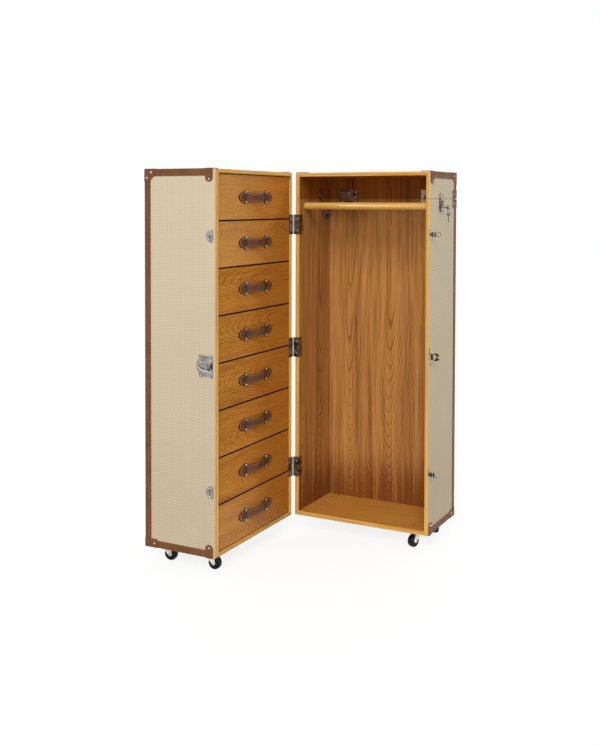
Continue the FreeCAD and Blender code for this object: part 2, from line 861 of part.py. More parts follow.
def strike(height):
    """Plate with a round back and a headed post for a catch's ring."""
    tall = catch_plate_height / 2
    square = strike_back - tall * 0.9
    face = outline(
        (strike_front, -tall), (square, -tall), (strike_back, 0, square, tall), (strike_front, tall))
    plate = end_plate(face, height, catch_plate)
    post = rod(strike_post_radius, (case_width, strike_centre, height), ACROSS, strike_post_rise)
    tip = Vector(case_width + strike_post_rise, strike_centre, height)
    head = Part.makeCone(strike_post_radius, strike_post_radius * 0.6, catch_plate, tip, ACROSS)
    return fused([plate, post, head])


def almond(front, back, half):
    """Pointed oval that is open at the front, drawn in depth and height."""
    nose = (back - front) * 0.12
    bow = front + (back - front) * 0.55
    return outline(
        (front, -half), (bow, -half * 0.86, back - nose, -half * 0.3), (back, 0, back - nose, half * 0.3),
        (bow, half * 0.86, front, half))


def receiver_face():
    """Outline with a lobe at each corner and a bulging back."""
    tall = receiver_height / 2
    front = receiver_front
    lobe = receiver_lobe
    near = front + lobe
    far = receiver_back - 2.6 * lobe
    waist = tall - 0.9 * lobe
    flank = tall - 0.5 * lobe
    bulge = tall * 0.55
    middle = (near + far) / 2
    return outline(
        (front, lobe - tall), (near, -tall, near + lobe, -flank),
        (middle, -waist, far - lobe, -flank), (far, -tall, far + lobe, lobe - tall),
        (far + lobe, -bulge), (receiver_back, 0, far + lobe, bulge),
        (far + lobe, tall - lobe), (far, tall, far - lobe, flank),
        (middle, waist, near + lobe, flank), (near, tall, front, tall - lobe))


def hasp_receiver():
    """Lobed plate with a raised almond-shaped ridge that leads to the hasp's slot."""
    plate = end_plate(receiver_face(), hasp_height, receiver_plate)
    half = receiver_height / 4
    back = receiver_back - receiver_rim
    ridge = end_plate(almond(receiver_front, back, half), hasp_height, receiver_plate + receiver_ridge)
    well = almond(receiver_front - receiver_rim, back - receiver_rim, half - receiver_rim)
    well_corner = (case_width + receiver_plate, 0, hasp_height)
    well = slab(well, well_corner, INWARD, UP, ACROSS * 2 * receiver_ridge)
    slot_reach = receiver_slot_width / 2
    slot_rise = receiver_slot_height / 2
    slot_depth = (receiver_slot_depth - slot_reach, receiver_slot_depth + slot_reach)
    slot_span = (hasp_height - slot_rise, hasp_height + slot_rise)
    slot = box((case_width, case_width + receiver_plate), slot_depth, slot_span)
    return plate.fuse(ridge.cut(well)).removeSplitter().cut(slot)


# Lid lock

def lock_tongue(extra):
    """Tongue of the lid catch, or with extra room the slot that takes it."""
    middle = case_width + lock_catch_thickness / 2
    half = (lock_tongue_thickness + extra) / 2
    reach = lock_tongue_width / 2 + extra
    low = lid_seam - lock_tongue_drop - extra
    high = lid_bottom + 2 * seam_gap
    return box((middle - half, middle + half), (lock_depth - reach, lock_depth + reach), (low, high))


def lock_case():
    """Lock on the outer end below the lid seam: round below and slotted for the tongue."""
    top = body_top - seam_gap
    half = lock_width / 2
    low = top - lock_height + half
    face = outline(
        (lock_depth - half, top), (lock_depth - half, low),
        (lock_depth, low - half, lock_depth + half, low), (lock_depth + half, top))
    case = end_plate(face, 0, lock_thickness)
    keyway_start = (case_width, lock_depth, key_height)
    keyway = rod(key_shaft_radius + pin_clearance, keyway_start, ACROSS, lock_thickness)
    return case.cut(lock_tongue(lock_tongue_clearance)).cut(keyway)


def lock_catch():
    """Catch on the lid above the lock, round at its top, with the tongue below it."""
    low = lid_bottom + seam_gap
    half = lock_width / 2
    shoulder = low + lock_catch_height - half * 0.9
    face = outline(
        (lock_depth - half, low), (lock_depth + half, low), (lock_depth + half, shoulder),
        (lock_depth, low + lock_catch_height, lock_depth - half, shoulder))
    plate = end_plate(face, 0, lock_catch_thickness)
    return plate.fuse(lock_tongue(0)).removeSplitter()


def key():
    """Key in the lock: a shaft straight out of it and an eight-sided bow with a hole."""
    start = case_width + pin_clearance
    end = case_width + lock_thickness + key_length
    shaft = rod(key_shaft_radius, (start, lock_depth, key_height), ACROSS, end - start)
    bow_centre = end + key_bow_radius * 0.8
    corners = [on_arc((bow_centre, key_height), key_bow_radius, 45 * side) for side in range(8)]
    bow = slab(outline(*corners), (0, lock_depth - key_plate / 2, 0), ACROSS, UP, INWARD * key_plate)
    hole_start = (key_hole_across(), lock_depth - key_plate / 2, key_height)
    hole = rod(key_hole_radius, hole_start, INWARD, key_plate)
    return shaft.fuse(bow).cut(hole)


def key_hole_across():
    """Where the hole in the bow of the key in the lock lies across the trunk."""
    return case_width + lock_thickness + key_length + key_bow_radius * 1.2


def lock_keys():
    """Key in the lock, with a flat ring through its bow and the spare key hanging on it."""
    ring_hole = key_ring_radius - key_ring_wire
    drop = ring_hole + key_hole_radius - key_slack
    hole = Vector(key_hole_across(), lock_depth, key_height)
    ring_start = hole - UP * drop - ACROSS * (key_ring_wire / 2)
    ring = rod(key_ring_radius, ring_start, ACROSS, key_ring_wire)
    ring = ring.cut(rod(ring_hole, ring_start, ACROSS, key_ring_wire))
    spare = key()
    spare.translate(hole * -1)
    spare.rotate(ORIGIN, INWARD, -90)
    spare.translate(hole - UP * 2 * drop)
    return [key(), ring, spare]


# Lid stay

def stay_elbow():
    """Elbow of the folded stay, below both pivots, in depth and height."""
    reach = (stay_case_pivot[0] - stay_lid_pivot[0], stay_case_pivot[1] - stay_lid_pivot[1])
    span = math.hypot(*reach)
    squares = stay_upper_length ** 2 + span ** 2 - stay_lower_length ** 2
    lean = math.acos(squares / (2 * stay_upper_length * span))
    angle = math.degrees(math.atan2(reach[1], reach[0]) - lean)
    return on_arc(stay_lid_pivot, stay_upper_length, angle)


def stay_layers():
    """Where the lower arm, then the upper arm, begin across the case."""
    lower = wall + catch_plate + stay_standoff
    return lower, lower + stay_arm + arm_clearance


def stay_arm_plate(start, end, layer):
    """Round-ended flat arm between two pivots, bored at the first."""
    half = stay_arm_width / 2
    length = math.hypot(end[0] - start[0], end[1] - start[1])
    face = outline(
        (0, -half), (length, -half), (length + half, 0, length, half), (0, half),
        (-half, 0, 0, -half))
    along = Vector(0, end[0] - start[0], end[1] - start[1]).normalize()
    plate = slab(face, (layer, *start), along, ACROSS.cross(along), ACROSS * stay_arm)
    return plate.cut(rod(stay_pin_radius + pin_clearance, (layer, *start), ACROSS, stay_arm))


def stay_upper_arm():
    """Arm from the lid, with its half of the elbow rivet on the inner side."""
    layer = stay_layers()[1]
    elbow = stay_elbow()
    arm = stay_arm_plate(stay_lid_pivot, elbow, layer)
    return arm.fuse(rod(stay_rivet_radius, (layer + stay_arm, *elbow), ACROSS, stay_rivet_height))


def stay_lower_arm():
    """Arm from the case, with its half of the elbow rivet on the side of the wall."""
    layer = stay_layers()[0]
    elbow = stay_elbow()
    arm = stay_arm_plate(stay_case_pivot, elbow, layer)
    return arm.fuse(rod(stay_rivet_radius, (layer - stay_rivet_height, *elbow), ACROSS, stay_rivet_height))


def stay_bracket(pivot, layer, upward, head_radius):
    """Plate on the side board with a headed pin for an arm."""
    half = stay_bracket_width / 2
    bevel = half / 2
    run = stay_bracket_length - half
    face = outline(
        (-half, bevel - half), (bevel - half, -half), (half - bevel, -half),
        (half, bevel - half), (half, run - bevel), (half - bevel, run), (bevel - half, run),
        (-half, run - bevel))
    plate = slab(face, (wall, *pivot), INWARD, UP * upward, ACROSS * catch_plate)
    head_start = layer + stay_arm + arm_clearance
    pin = rod(stay_pin_radius, (wall, *pivot), ACROSS, head_start - wall)
    head = rod(head_radius, (head_start, *pivot), ACROSS, stay_head_height)
    return fused([plate, pin, head])


# Casters, drawn on the swivel axis with the floor at height 0 and the trail to the front

def crown_span():
    """Lower and upper face of the fork's crown."""
    low = 2 * wheel_radius + crown_clearance
    return low, low + fork_metal


def leg_gap():
    """Half the room between the fork's legs."""
    return wheel_width / 2 + fork_clearance


def caster_plate_piece():
    """Top plate with the closed race housing below it."""
    half = caster_plate_size / 2
    race_low = crown_span()[1] + race_gap
    race_high = caster_height - caster_plate
    plate = box((-half, half), (-half, half), (race_high, caster_height))
    housing = rod(race_radius, (0, 0, race_low), UP, race_high - race_low)
    return fused([plate, housing])


def caster_fork():
    """Stamped fork: crown, two legs that slope back to the axle, and a nut outside each
    leg."""
    low, high = crown_span()
    gap = leg_gap()
    outside = gap + fork_metal
    axle = (-caster_trail, wheel_radius)
    crown = box((-outside, outside), (-crown_front, crown_back), (low, high))
    step = boss_sweep / boss_sides
    foot = [on_arc(axle, axle_boss, boss_start - step * side) for side in range(boss_sides + 1)]
    face = outline((crown_back, low), *foot, (-crown_front, low))
    leg = slab(face, (gap, 0, 0), INWARD, UP, ACROSS * fork_metal)
    hexagon = outline(*[on_arc(axle, nut_radius, 60 * side) for side in range(6)])
    nut = slab(hexagon, (outside, 0, 0), INWARD, UP, ACROSS * nut_height)
    shaft = rod(axle_radius, (-outside, *axle), ACROSS, 2 * outside)
    sides = [leg, nut, leg.mirror(ORIGIN, ACROSS), nut.mirror(ORIGIN, ACROSS)]
    return fused([crown, shaft] + sides)


def caster_wheel():
    """Plain wheel, bored for the axle."""
    half = wheel_width / 2
    axle = (-caster_trail, wheel_radius)
    wheel = rod(wheel_radius, (-half, *axle), ACROSS, wheel_width)
    return wheel.cut(rod(axle_radius + pin_clearance, (-half, *axle), ACROSS, wheel_width))


# Placing the halves

def moved(shapes, offset):
    copies = []
    for shape in shapes:
        copy = shape.copy()
        copy.translate(Vector(*offset))
        copies.append(copy)
    return copies


def in_wardrobe_half(shapes):
    """From the case frame to the trunk, with the hinge pin's axis at u, d = 0, 0."""
    return moved(shapes, (pin_offset, set_back, caster_height))


def in_drawer_half(shapes):
    """From the case frame to the trunk: the mirror image of the other half, opened by a
    quarter turn about the pin."""
    placed = []
    for shape in shapes:
        piece = shape.mirror(ORIGIN, INWARD)
        piece.translate(Vector(pin_offset, -set_back, caster_height))
        piece.rotate(ORIGIN, UP, -90)
        placed.append(piece)
    return placed


def wardrobe_nodes():
    notches = lid_hinge_notches()
    body = [piece.cut(notches) for piece in case_boards(0, body_top, True, False)]
    lid = [piece.cut(notches) for piece in case_boards(lid_bottom, case_height, False, True)]
    lower_layer, upper_layer = stay_layers()
    side_bracket = stay_bracket(stay_case_pivot, lower_layer, -1, stay_knob_radius)
    lid_bracket = stay_bracket(stay_lid_pivot, upper_layer, 1, stay_head_radius)
    return {
        "wardrobe_carcass": body,
        "wardrobe_lipping": rebated_lipping(0, body_top, True, False),
        "wardrobe_cover": [cover_skin(0, body_top, True, False).cut(notches)],
        "wardrobe_edging": wardrobe_edging(),
        "hanging_rail": [hanging_rail()],
        "trunk_hinge_fixed_leaves": trunk_hinges_fixed(),
        "lid_hinge_lower_leaves": lid_hinges_lower(),
        "latch_plates": latch_plates(),
        "lid_lock_case": [lock_case()],
        "stay_side_bracket": [side_bracket],
        "wardrobe_caster_plates": caster_plates(),
        "lid_carcass": lid,
        "lid_lipping": rebated_lipping(lid_bottom, case_height, False, True),
        "lid_cover": [cover_skin(lid_bottom, case_height, False, True).cut(notches)],
        "lid_edging": lid_edging(),
        "lid_hinge_upper_leaves": lid_hinges_upper(),
        "lid_lock_catch": [lock_catch()],
        "stay_lid_bracket": [lid_bracket],
        "stay_upper_arm": [stay_upper_arm()],
        "stay_lower_arm": [stay_lower_arm()],
        "lower_latch_lever": [catch_lever(catch_heights[0])],
        "upper_latch_lever": [catch_lever(catch_heights[1])],
        "centre_hasp": [hasp_claw()],
        "lock_key": lock_keys(),
    }


def drawer_case_nodes():
    nodes = {
        "drawer_case_carcass": case_boards(0, case_height, True, True),
        "drawer_case_lipping": tongued_lipping(0, case_height),
        "drawer_runners": drawer_runners(),
        "drawer_case_cover": [cover_skin(0, case_height, True, True)],
        "drawer_case_edging": drawer_case_edging(),
        "trunk_hinge_moving_leaves": trunk_hinges_moving(),
        "lock_strikes": [strike(height) for height in catch_heights] + [hasp_receiver()],
        "drawer_case_caster_plates": caster_plates(),
    }
    one_pull = pull()
    for index in range(drawer_count):
        number = drawer_count - index
        nodes[f"drawer_{number}"] = drawer_box(index)
        place = (case_width / 2, drawer_recess, pull_height_of(index))
        nodes[f"drawer_{number}_pull"] = moved(one_pull, place)
    return nodes


def caster_plates():
    """Top plates of a half's three casters, under its floor."""
    plates = []
    for spot in caster_spots.values():
        plates += moved([caster_plate_piece()], (*spot, -caster_height))
    return plates


def caster_nodes(half):
    """Forks and wheels of a half's three casters, each turned its own way."""
    nodes = {}
    for name, spot in caster_spots.items():
        fork = caster_fork()
        wheel = caster_wheel()
        for piece in (fork, wheel):
            piece.rotate(ORIGIN, UP, caster_turns[half][name])
        place = (*spot, -caster_height)
        nodes[f"{half}_{name}_caster_fork"] = moved([fork], place)
        nodes[f"{half}_{name}_caster_wheel"] = moved([wheel], place)
    return nodes


def trunk_nodes():
    """All nodes in the trunk's frame, with the hinge pin's axis as the Z axis."""
    nodes = {}
    for name, shapes in (wardrobe_nodes() | caster_nodes("wardrobe")).items():
        nodes[name] = in_wardrobe_half(shapes)
    for name, shapes in (drawer_case_nodes() | caster_nodes("drawer_case")).items():
        nodes[name] = in_drawer_half(shapes)
    return {name: Part.makeCompound(shapes) for name, shapes in nodes.items()}


def centre_offset(nodes):
    """Move that puts the origin on the floor under the middle of the open trunk."""
    bounds = Part.makeCompound(list(nodes.values())).BoundBox
    return Vector(-bounds.Center.x, -bounds.Center.y, -bounds.ZMin)


trunk = trunk_nodes()
offset = centre_offset(trunk)
os.makedirs("parts", exist_ok=True)
for name, compound in trunk.items():
    compound.translate(offset)
    compound.exportStep(f"parts/{name}.step")
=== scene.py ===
import json
import math

import bmesh
import bpy
import numpy as np
from mathutils import Matrix, Vector

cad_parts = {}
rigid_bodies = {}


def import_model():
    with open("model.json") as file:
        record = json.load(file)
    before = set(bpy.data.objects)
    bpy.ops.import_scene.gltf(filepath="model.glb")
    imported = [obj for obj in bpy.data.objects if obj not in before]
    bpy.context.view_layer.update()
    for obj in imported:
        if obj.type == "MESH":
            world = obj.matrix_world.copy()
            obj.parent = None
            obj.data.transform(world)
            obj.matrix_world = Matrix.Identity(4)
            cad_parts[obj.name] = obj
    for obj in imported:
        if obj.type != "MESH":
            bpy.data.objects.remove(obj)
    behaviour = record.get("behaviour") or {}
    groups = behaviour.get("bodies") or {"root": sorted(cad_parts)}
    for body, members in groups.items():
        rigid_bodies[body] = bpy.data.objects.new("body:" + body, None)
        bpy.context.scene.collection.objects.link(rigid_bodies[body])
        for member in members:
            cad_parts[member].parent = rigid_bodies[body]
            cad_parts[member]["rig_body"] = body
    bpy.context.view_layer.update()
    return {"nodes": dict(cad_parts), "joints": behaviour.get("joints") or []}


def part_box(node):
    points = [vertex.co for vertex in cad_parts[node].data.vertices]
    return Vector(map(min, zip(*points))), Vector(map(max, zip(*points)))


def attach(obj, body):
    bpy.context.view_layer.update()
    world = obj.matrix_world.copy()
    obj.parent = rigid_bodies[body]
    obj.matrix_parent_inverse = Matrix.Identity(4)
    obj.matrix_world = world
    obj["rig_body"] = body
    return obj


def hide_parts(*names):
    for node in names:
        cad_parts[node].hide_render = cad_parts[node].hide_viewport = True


# A wardrobe trunk: cloth-covered cases edged in leather, with oak inside, leather drawer
# pulls, nickel hardware and swivel casters.
#
# Lengths are in millimetres until a piece is made. Each half is measured like its case:
# across from the hinged side, inward from the open face and up from its underside.

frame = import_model()
scene = bpy.context.scene
MM = 0.001


# Sizes read from the frame

def extent(node):
    """Lowest and highest corner of a CAD node in millimetres."""
    low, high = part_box(node)
    return np.array(low) / MM, np.array(high) / MM


class Half:
    """One half of the trunk, or a place on it, as a corner and three directions."""

    def __init__(self, corner, across, inward, up=(0, 0, 1)):
        self.corner = np.array(corner, float)
        self.axes = np.array((across, inward, up), float)

    def place(self, u, d, h):
        """Points corner + u across + d inward + h up, for arrays of shapes that match."""
        u, d, h = np.broadcast_arrays(*(np.asarray(v, float) for v in (u, d, h)))
        return self.corner + np.stack((u, d, h), -1) @ self.axes

    def measure(self, point):
        """How far across, inward and up a point of the trunk lies."""
        return (np.asarray(point) - self.corner) @ self.axes.T

    def at(self, u, d, h):
        """The same directions from another corner."""
        return Half(self.place(u, d, h), *self.axes)

    def edges(self):
        """Places on the open face's edges: inset from an edge, depth and way along it."""
        u, d, h = self.axes
        far, top = self.place(case_width, 0, 0), self.place(0, 0, case_height)
        return {"hinged": self, "outer": Half(far, -u, d, h),
                "floor": Half(self.corner, h, d, u), "top": Half(top, -h, d, u)}

    def back_corners(self, end):
        """Places on the two back corners at the bottom or top, with directions inward."""
        for side in ("hinged", "outer"):
            edge = self.edges()[side]
            u, d, h = edge.axes
            yield Half(edge.place(0, case_depth, case_height * end), u, -d, h * (1 - 2 * end))

    def way(self, u, d, h):
        """Direction with those shares of across, inward and up."""
        vector = np.array((u, d, h), float) @ self.axes
        return vector / np.linalg.norm(vector)


case_low, case_high = extent("drawer_case_cover")
case_depth, case_width, case_height = case_high - case_low
underside = case_low[2]
wardrobe = Half(extent("wardrobe_cover")[0], (1, 0, 0), (0, 1, 0))
drawers = Half((case_high[0], case_high[1], underside), (0, -1, 0), (-1, 0, 0))


def spread(node, half=wardrobe):
    """Lowest and highest corner and middle of a CAD node, measured on a half."""
    low, high = extent(node)
    ends = np.sort((half.measure(low), half.measure(high)), axis=0)
    return (*ends, ends.mean(0))


wall = spread("hanging_rail")[0][0]
body_top = spread("wardrobe_carcass")[1][2]
lid_bottom = spread("lid_carcass")[0][2]
lid_seam = (body_top + lid_bottom) / 2
cover = 1.0
front_low, front_high = extent("drawer_1")
drawer_pitch = abs(front_low[2] - extent("drawer_2")[0][2])
drawer_face = spread("drawer_1", drawers)[0][1]


# Shader maths

def srgb(*levels):
    """Linear colour of three display levels from 0 to 255."""
    levels = [level / 255 for level in levels]
    linear = [v / 12.92 if v < 0.04045 else ((v + 0.055) / 1.055) ** 2.4 for v in levels]
    return (*linear, 1.0)


def maths(operation, swapped=False):
    """Method of a signal that adds a Math node, with its operands swapped or not."""
    def method(self, *others):
        values = (*others, self) if swapped else (self, *others)
        settings = {"operation": operation}
        return self.finish.node("ShaderNodeMath", settings, dict(enumerate(values)))
    return method


class Signal:
    """An output of a shader node; arithmetic on it adds Math nodes."""

    def __init__(self, finish, socket):
        self.finish = finish
        self.socket = socket

    __add__ = __radd__ = maths("ADD")
    __sub__ = maths("SUBTRACT")
    __rsub__ = maths("SUBTRACT", swapped=True)
    __mul__ = __rmul__ = maths("MULTIPLY")
    __truediv__ = maths("DIVIDE")
    __gt__ = maths("GREATER_THAN")
    __lt__ = maths("LESS_THAN")
    size = maths("ABSOLUTE")
    floor = maths("FLOOR")
    fraction = maths("FRACT")
    root = maths("SQRT")
    most = maths("MAXIMUM")

    def sine(self, period):
        """Sine of this value with a period."""
        return maths("SINE")(self * (math.tau / period))

    def step(self, low, high):
        """Smooth rise from 0 at low to 1 at high."""
        settings = {"interpolation_type": "SMOOTHSTEP"}
        return self.finish.node("ShaderNodeMapRange", settings, {0: self, 1: low, 2: high})


class Finish:
    """A material, or the world, under construction."""

    def __init__(self, owner):
        self.owner = owner
        owner.use_nodes = True
        self.tree = owner.node_tree
        self.tree.nodes.clear()

    def node(self, kind, settings=None, sockets=None, output=0):
        """A node with its settings made first, then values or links into its sockets."""
        node = self.tree.nodes.new(kind)
        for key, value in (settings or {}).items():
            setattr(node, key, value)
        for key, value in (sockets or {}).items():
            if isinstance(value, Signal):
                self.tree.links.new(value.socket, node.inputs[key])
            else:
                node.inputs[key].default_value = value
        if node.outputs:
            return Signal(self, node.outputs[output])
        return node

    def outputs(self, signal, *keys):
        """Other outputs of the node that a signal comes from."""
        return [Signal(self, signal.socket.node.outputs[key]) for key in keys]

    def split(self, vector):
        return self.outputs(self.node("ShaderNodeSeparateXYZ", {}, {0: vector}), 0, 1, 2)

    def places(self):
        """Object coordinates in metres."""
        return self.split(self.node("ShaderNodeTexCoord", output="Object"))

    def facing(self):
        """Shares of the surface's own normal along X, Y and Z, as sizes."""
        parts = self.split(self.node("ShaderNodeTexCoord", output="Normal"))
        return [part.size() for part in parts]

    def attribute(self, name):
        return self.node("ShaderNodeAttribute", {"attribute_name": name}, {}, "Fac")

    def noise(self, x, y, z, detail=2.0, roughness=0.5):
        """Noise about 0.5 of three values whose unit is one noise cell."""
        sockets = {"Vector": self.node("ShaderNodeCombineXYZ", {}, {0: x, 1: y, 2: z}),
                   "Scale": 1.0, "Detail": detail, "Roughness": roughness}
        return self.node("ShaderNodeTexNoise", {"noise_dimensions": "3D"}, sockets)

    def grain(self, east, north, up, detail=3.0, roughness=0.6):
        """Noise with a number of cells to the metre along X, Y and Z."""
        x, y, z = self.places()
        return self.noise(x * east, y * north, z * up, detail, roughness)

    def pebbles(self, scale):
        """Distance from the middle of cells strewn over the surface."""
        places = self.node("ShaderNodeTexCoord", output="Object")
        return self.node("ShaderNodeTexVoronoi", {}, {"Vector": places, "Scale": scale})

    def choose(self, share, first, second):
        """Value that goes from first to second."""
        return first * (1 - share) + second * share

    def colour(self, share, *ends):
        """Colour between two ends, each a signal or three display levels."""
        first, second = (end if isinstance(end, Signal) else srgb(*end) for end in ends)
        return self.node(
            "ShaderNodeMix", {"data_type": "RGBA"}, {0: share, 6: first, 7: second}, 2)

    def done(self, colour, roughness, relief=None, depth=0.0, shine=0.5, metallic=0.0, coat=0.0):
        """The surface, with a relief from 0 to 1 that is worth a depth in metres."""
        sockets = {
            "Base Color": colour, "Roughness": roughness, "Specular IOR Level": shine,
            "Metallic": metallic, "Coat Weight": coat, "Coat Roughness": 0.1}
        if relief is not None:
            sockets["Normal"] = self.node("ShaderNodeBump", {}, {
                "Strength": 1.0, "Distance": depth, "Height": relief})
        self.ends_in(self.node("ShaderNodeBsdfPrincipled", {}, sockets))
        return self.owner

    def ends_in(self, shader, kind="ShaderNodeOutputMaterial"):
        self.node(kind, {}, {"Surface": shader})


def finish_for(name):
    """A new material that belongs to one of the record's slots."""
    material = bpy.data.materials.new(name)
    return Finish(material)


# Oak

pith = 0.028
board_top = (underside + wall) * MM
# Height over which painted shade darkens the boards above the floor
foot_shade_rise = 0.24
front_board = 16.0 * MM


def oak_figure(finish, along, across, leaf, spacing, seed, lean=0.08, wander=0.012,
               drift=5.0, reach=0.85):
    """Plain-sawn oak in leaves side by side. With a the distance from about a leaf's middle
    and l how far a point lies short of a reach, the rings count
    sqrt(a^2 + pith^2) + lean l^2, so that they nest in long arches and run straight beyond
    the reach. Drift is how fast the streaks change along the grain. Returns the rings'
    dark side, pores and streaks."""
    turn = (across / leaf).floor()
    middle = (across / leaf).fraction() - 0.5
    slow = finish.noise(along * 1.3, across * 3.2, turn * 3.7 + seed, 1.0) - 0.5
    shiver = finish.noise(along * 16.0, across * 70.0, turn + seed, 3.0) - 0.5
    offset = finish.noise(turn * 5.3 + seed, 0.5, seed, 0.0) - 0.5
    away = middle * leaf + slow * wander + offset * 0.05
    short = (reach - along + offset * 0.3).most(0.0)
    rings = (away * away + pith ** 2).root() + short * short * lean + slow * wander * 0.8
    rings = rings / spacing + shiver * 0.5
    ring = rings.fraction()
    late = (1 - ring.step(0.02, 0.24)) + ring.step(0.92, 0.99)
    faint = finish.noise(along * 2.6, across * 11.0, turn * 2.3 + seed, 1.0).step(0.36, 0.62)
    late = late * (faint * 0.6 + 0.4)
    pores = finish.noise(along * 24.0, across * 900.0, seed + 0.5, 2.0, 0.6)
    pores = pores.step(0.56, 0.74) * (late * 0.55 + 0.35)
    fine = finish.noise(along * drift, across * 280.0 + slow * 8.0, turn * 1.9 + seed, 3.0, 0.7)
    broad = finish.noise(along * 0.9, across * 24.0 + slow * 2.0, turn * 4.1 + seed, 2.0)
    streaks = (fine - 0.5) * 4.0 + (broad - 0.5) * 2.2
    return late, pores, streaks


def oak_colour(finish, figure, light, dark, pore, arches=0.25, drawn=0.7):
    """Colour of oak, darker by shares of its figure's dark sides and streaks."""
    late, pores, streaks = figure
    body = finish.colour(late * arches + streaks * drawn + 0.28, light, dark)
    return finish.colour(pores * 0.5, body, pore)


def oak_done(finish, figure, colour, gloss=0.42, coat=0.0):
    """Oak surface, sunk along its pores."""
    late, pores, _ = figure
    relief = 1 - pores * 0.8 - late * 0.2
    return finish.done(colour, late * 0.10 + gloss, relief, 0.0001, 0.12, coat=coat)


def panel_oak(name, light, dark, pore, warm):
    """Veneer of the boards: its grain stands upright on sides and back, which are darker at the
    foot by painted shade, and runs across on floors and tops, which are warmer in tone and
    lighter by painted light."""
    finish = finish_for(name)
    x, y, z = finish.places()
    level = finish.facing()[2] > 0.5
    along = finish.choose(level, z, x)
    across = finish.choose(level, x + y, y)
    late, pores, streaks = oak_figure(
        finish, along, across + 0.062, 0.187, 0.0078, 4.0, 0.14, 0.045, 3.2, 0.9)
    # Painted shade darkens sides and back toward their foot; painted light makes floors and tops
    # lighter
    foot = 1 - z.step(board_top, board_top + foot_shade_rise)
    figure = late, pores, streaks + foot * (1 - level) * 1.15 - level * 0.3
    colour = oak_colour(finish, figure, light, dark, pore, 0.46, 0.62)
    return oak_done(finish, figure, finish.colour(level * 0.5, colour, warm))


def member_oak(name, *tones):
    """Solid oak of lipping members: an attribute tells how far a point lies along its
    member and another how far across."""
    finish = finish_for(name)
    figure = oak_figure(
        finish, finish.attribute("along"), finish.attribute("across"), 0.4, 0.0035, 1.0)
    return oak_done(finish, figure, oak_colour(finish, figure, *tones), 0.36)


def rod_oak(name, *tones):
    """Oak with its grain along the trunk's width, for the rail and the runners."""
    finish = finish_for(name)
    x, y, z = finish.places()
    figure = oak_figure(finish, x, y + z, 0.09, 0.004, 2.0)
    return oak_done(finish, figure, oak_colour(finish, figure, *tones), 0.3, 1.0)


def front_oak(name, light, dark, pore, hinge_shade_tone, outer_light_tone, edge):
    """Drawer oak: grain across the front, each drawer cut elsewhere in the log, with painted shade
    in a deeper tone toward the hinges, painted light toward the outer edge of the two top fronts
    and the bottom one, and painted shade darkening the edges and long corners of the front."""
    finish = finish_for(name)
    x, y, z = finish.places()
    drawer = (z - board_top) / (drawer_pitch * MM)
    number = drawer.floor()
    along = y + (number * 0.37 + 0.1).fraction() * 0.6 + 0.5
    figure = oak_figure(
        finish, along, z + 0.02 + number * 0.047, 0.24, 0.0100, 7.0, 0.19, 0.08, 11.0, 1.1)
    # Painted shade toward the hinges; painted light toward the outer edge of the top two and
    # bottom fronts
    deeper = (y * -1.0).step(-drawers.corner[1] * MM, -case_low[1] * MM)
    outer_light = ((number > 5.5) * 0.34 + (number < 0.5) * 0.22) * deeper
    # Painted shade in the gaps: the edges and long corners of each front are darkened
    arris = (0.5 - (drawer.fraction() - 0.5).size()) * (drawer_pitch * MM)
    gap_shade = (1 - finish.facing()[0].step(0.35, 0.75)).most(1 - arris.step(0.0027, 0.0034))
    edges = (x > front_high[0] * MM - front_board) * gap_shade
    colour = oak_colour(finish, figure, light, dark, pore, 0.62, 0.56)
    for share, tone in (((1 - deeper) * 0.6, hinge_shade_tone), (outer_light, outer_light_tone), (edges, edge)):
        colour = finish.colour(share, colour, tone)
    return oak_done(finish, figure, colour)


veneer = panel_oak("oak_veneer", (199, 142, 77), (126, 72, 30), (84, 45, 17), (208, 142, 48))
# The lid's boards are darker as painted shade under the lid's top
lid_shaded_veneer = panel_oak(
    "lid_oak_painted_shade", (172, 102, 28), (104, 50, 6), (60, 30, 6), (172, 96, 20))
lipping_wood = member_oak("oak_lipping", (228, 178, 90), (190, 132, 52), (132, 82, 32))
rail_wood = rod_oak("oak_rail", (228, 180, 92), (200, 145, 62), (150, 96, 38))
# The last three colours are painted shade toward the hinges, painted light and painted gap shade
front_wood = front_oak("drawer_oak", (205, 139, 59), (142, 80, 25), (98, 52, 16),
                       (184, 107, 20), (228, 174, 106), (22, 12, 7))


# Cloth and leather

bead_width = 0.0127
bead_height = 0.01135


def basket_cloth(name, light, dark):
    """Cream cloth embossed with slanting rows of beads. With s along the face and t up it,
    one turn to a bead, the beads are 0.55 sin(s - t) + 0.25 sin(s) + 0.2 sin(t), and fine
    threads cross them. Painted light makes the cloth paler toward the top."""
    finish = finish_for(name)
    x, y, z = finish.places()
    level = finish.facing()[2] > 0.5
    s = finish.choose(level, x + y, x) / bead_width
    t = finish.choose(level, z, y) / bead_height
    slant = s - t
    beads = slant.sine(1.0) * 0.55 + s.sine(1.0) * 0.25 + t.sine(1.0) * 0.2
    threads = (slant * 6.0).sine(1.0) * (t * 5.0 + s * 5.0).sine(1.0)
    cloud = finish.noise((x + y) * 3.0, z * 3.0, 0.0, 3.0)
    fibre = finish.noise((x + y) * 700.0, z * 700.0, 1.0, 2.0)
    share = beads * 0.36 + threads * 0.08 + (cloud - 0.5) * 0.30 + (fibre - 0.5) * 0.3
    # Painted light: the cloth grows paler toward the top
    share = share + z.step(-0.1, 1.5) * 0.45 + 0.20
    height = beads * 0.5 + 0.5 + threads * 0.08
    return finish.done(
        finish.colour(share, dark, light), 0.75 - height * 0.12, height, 0.0004, 0.25)


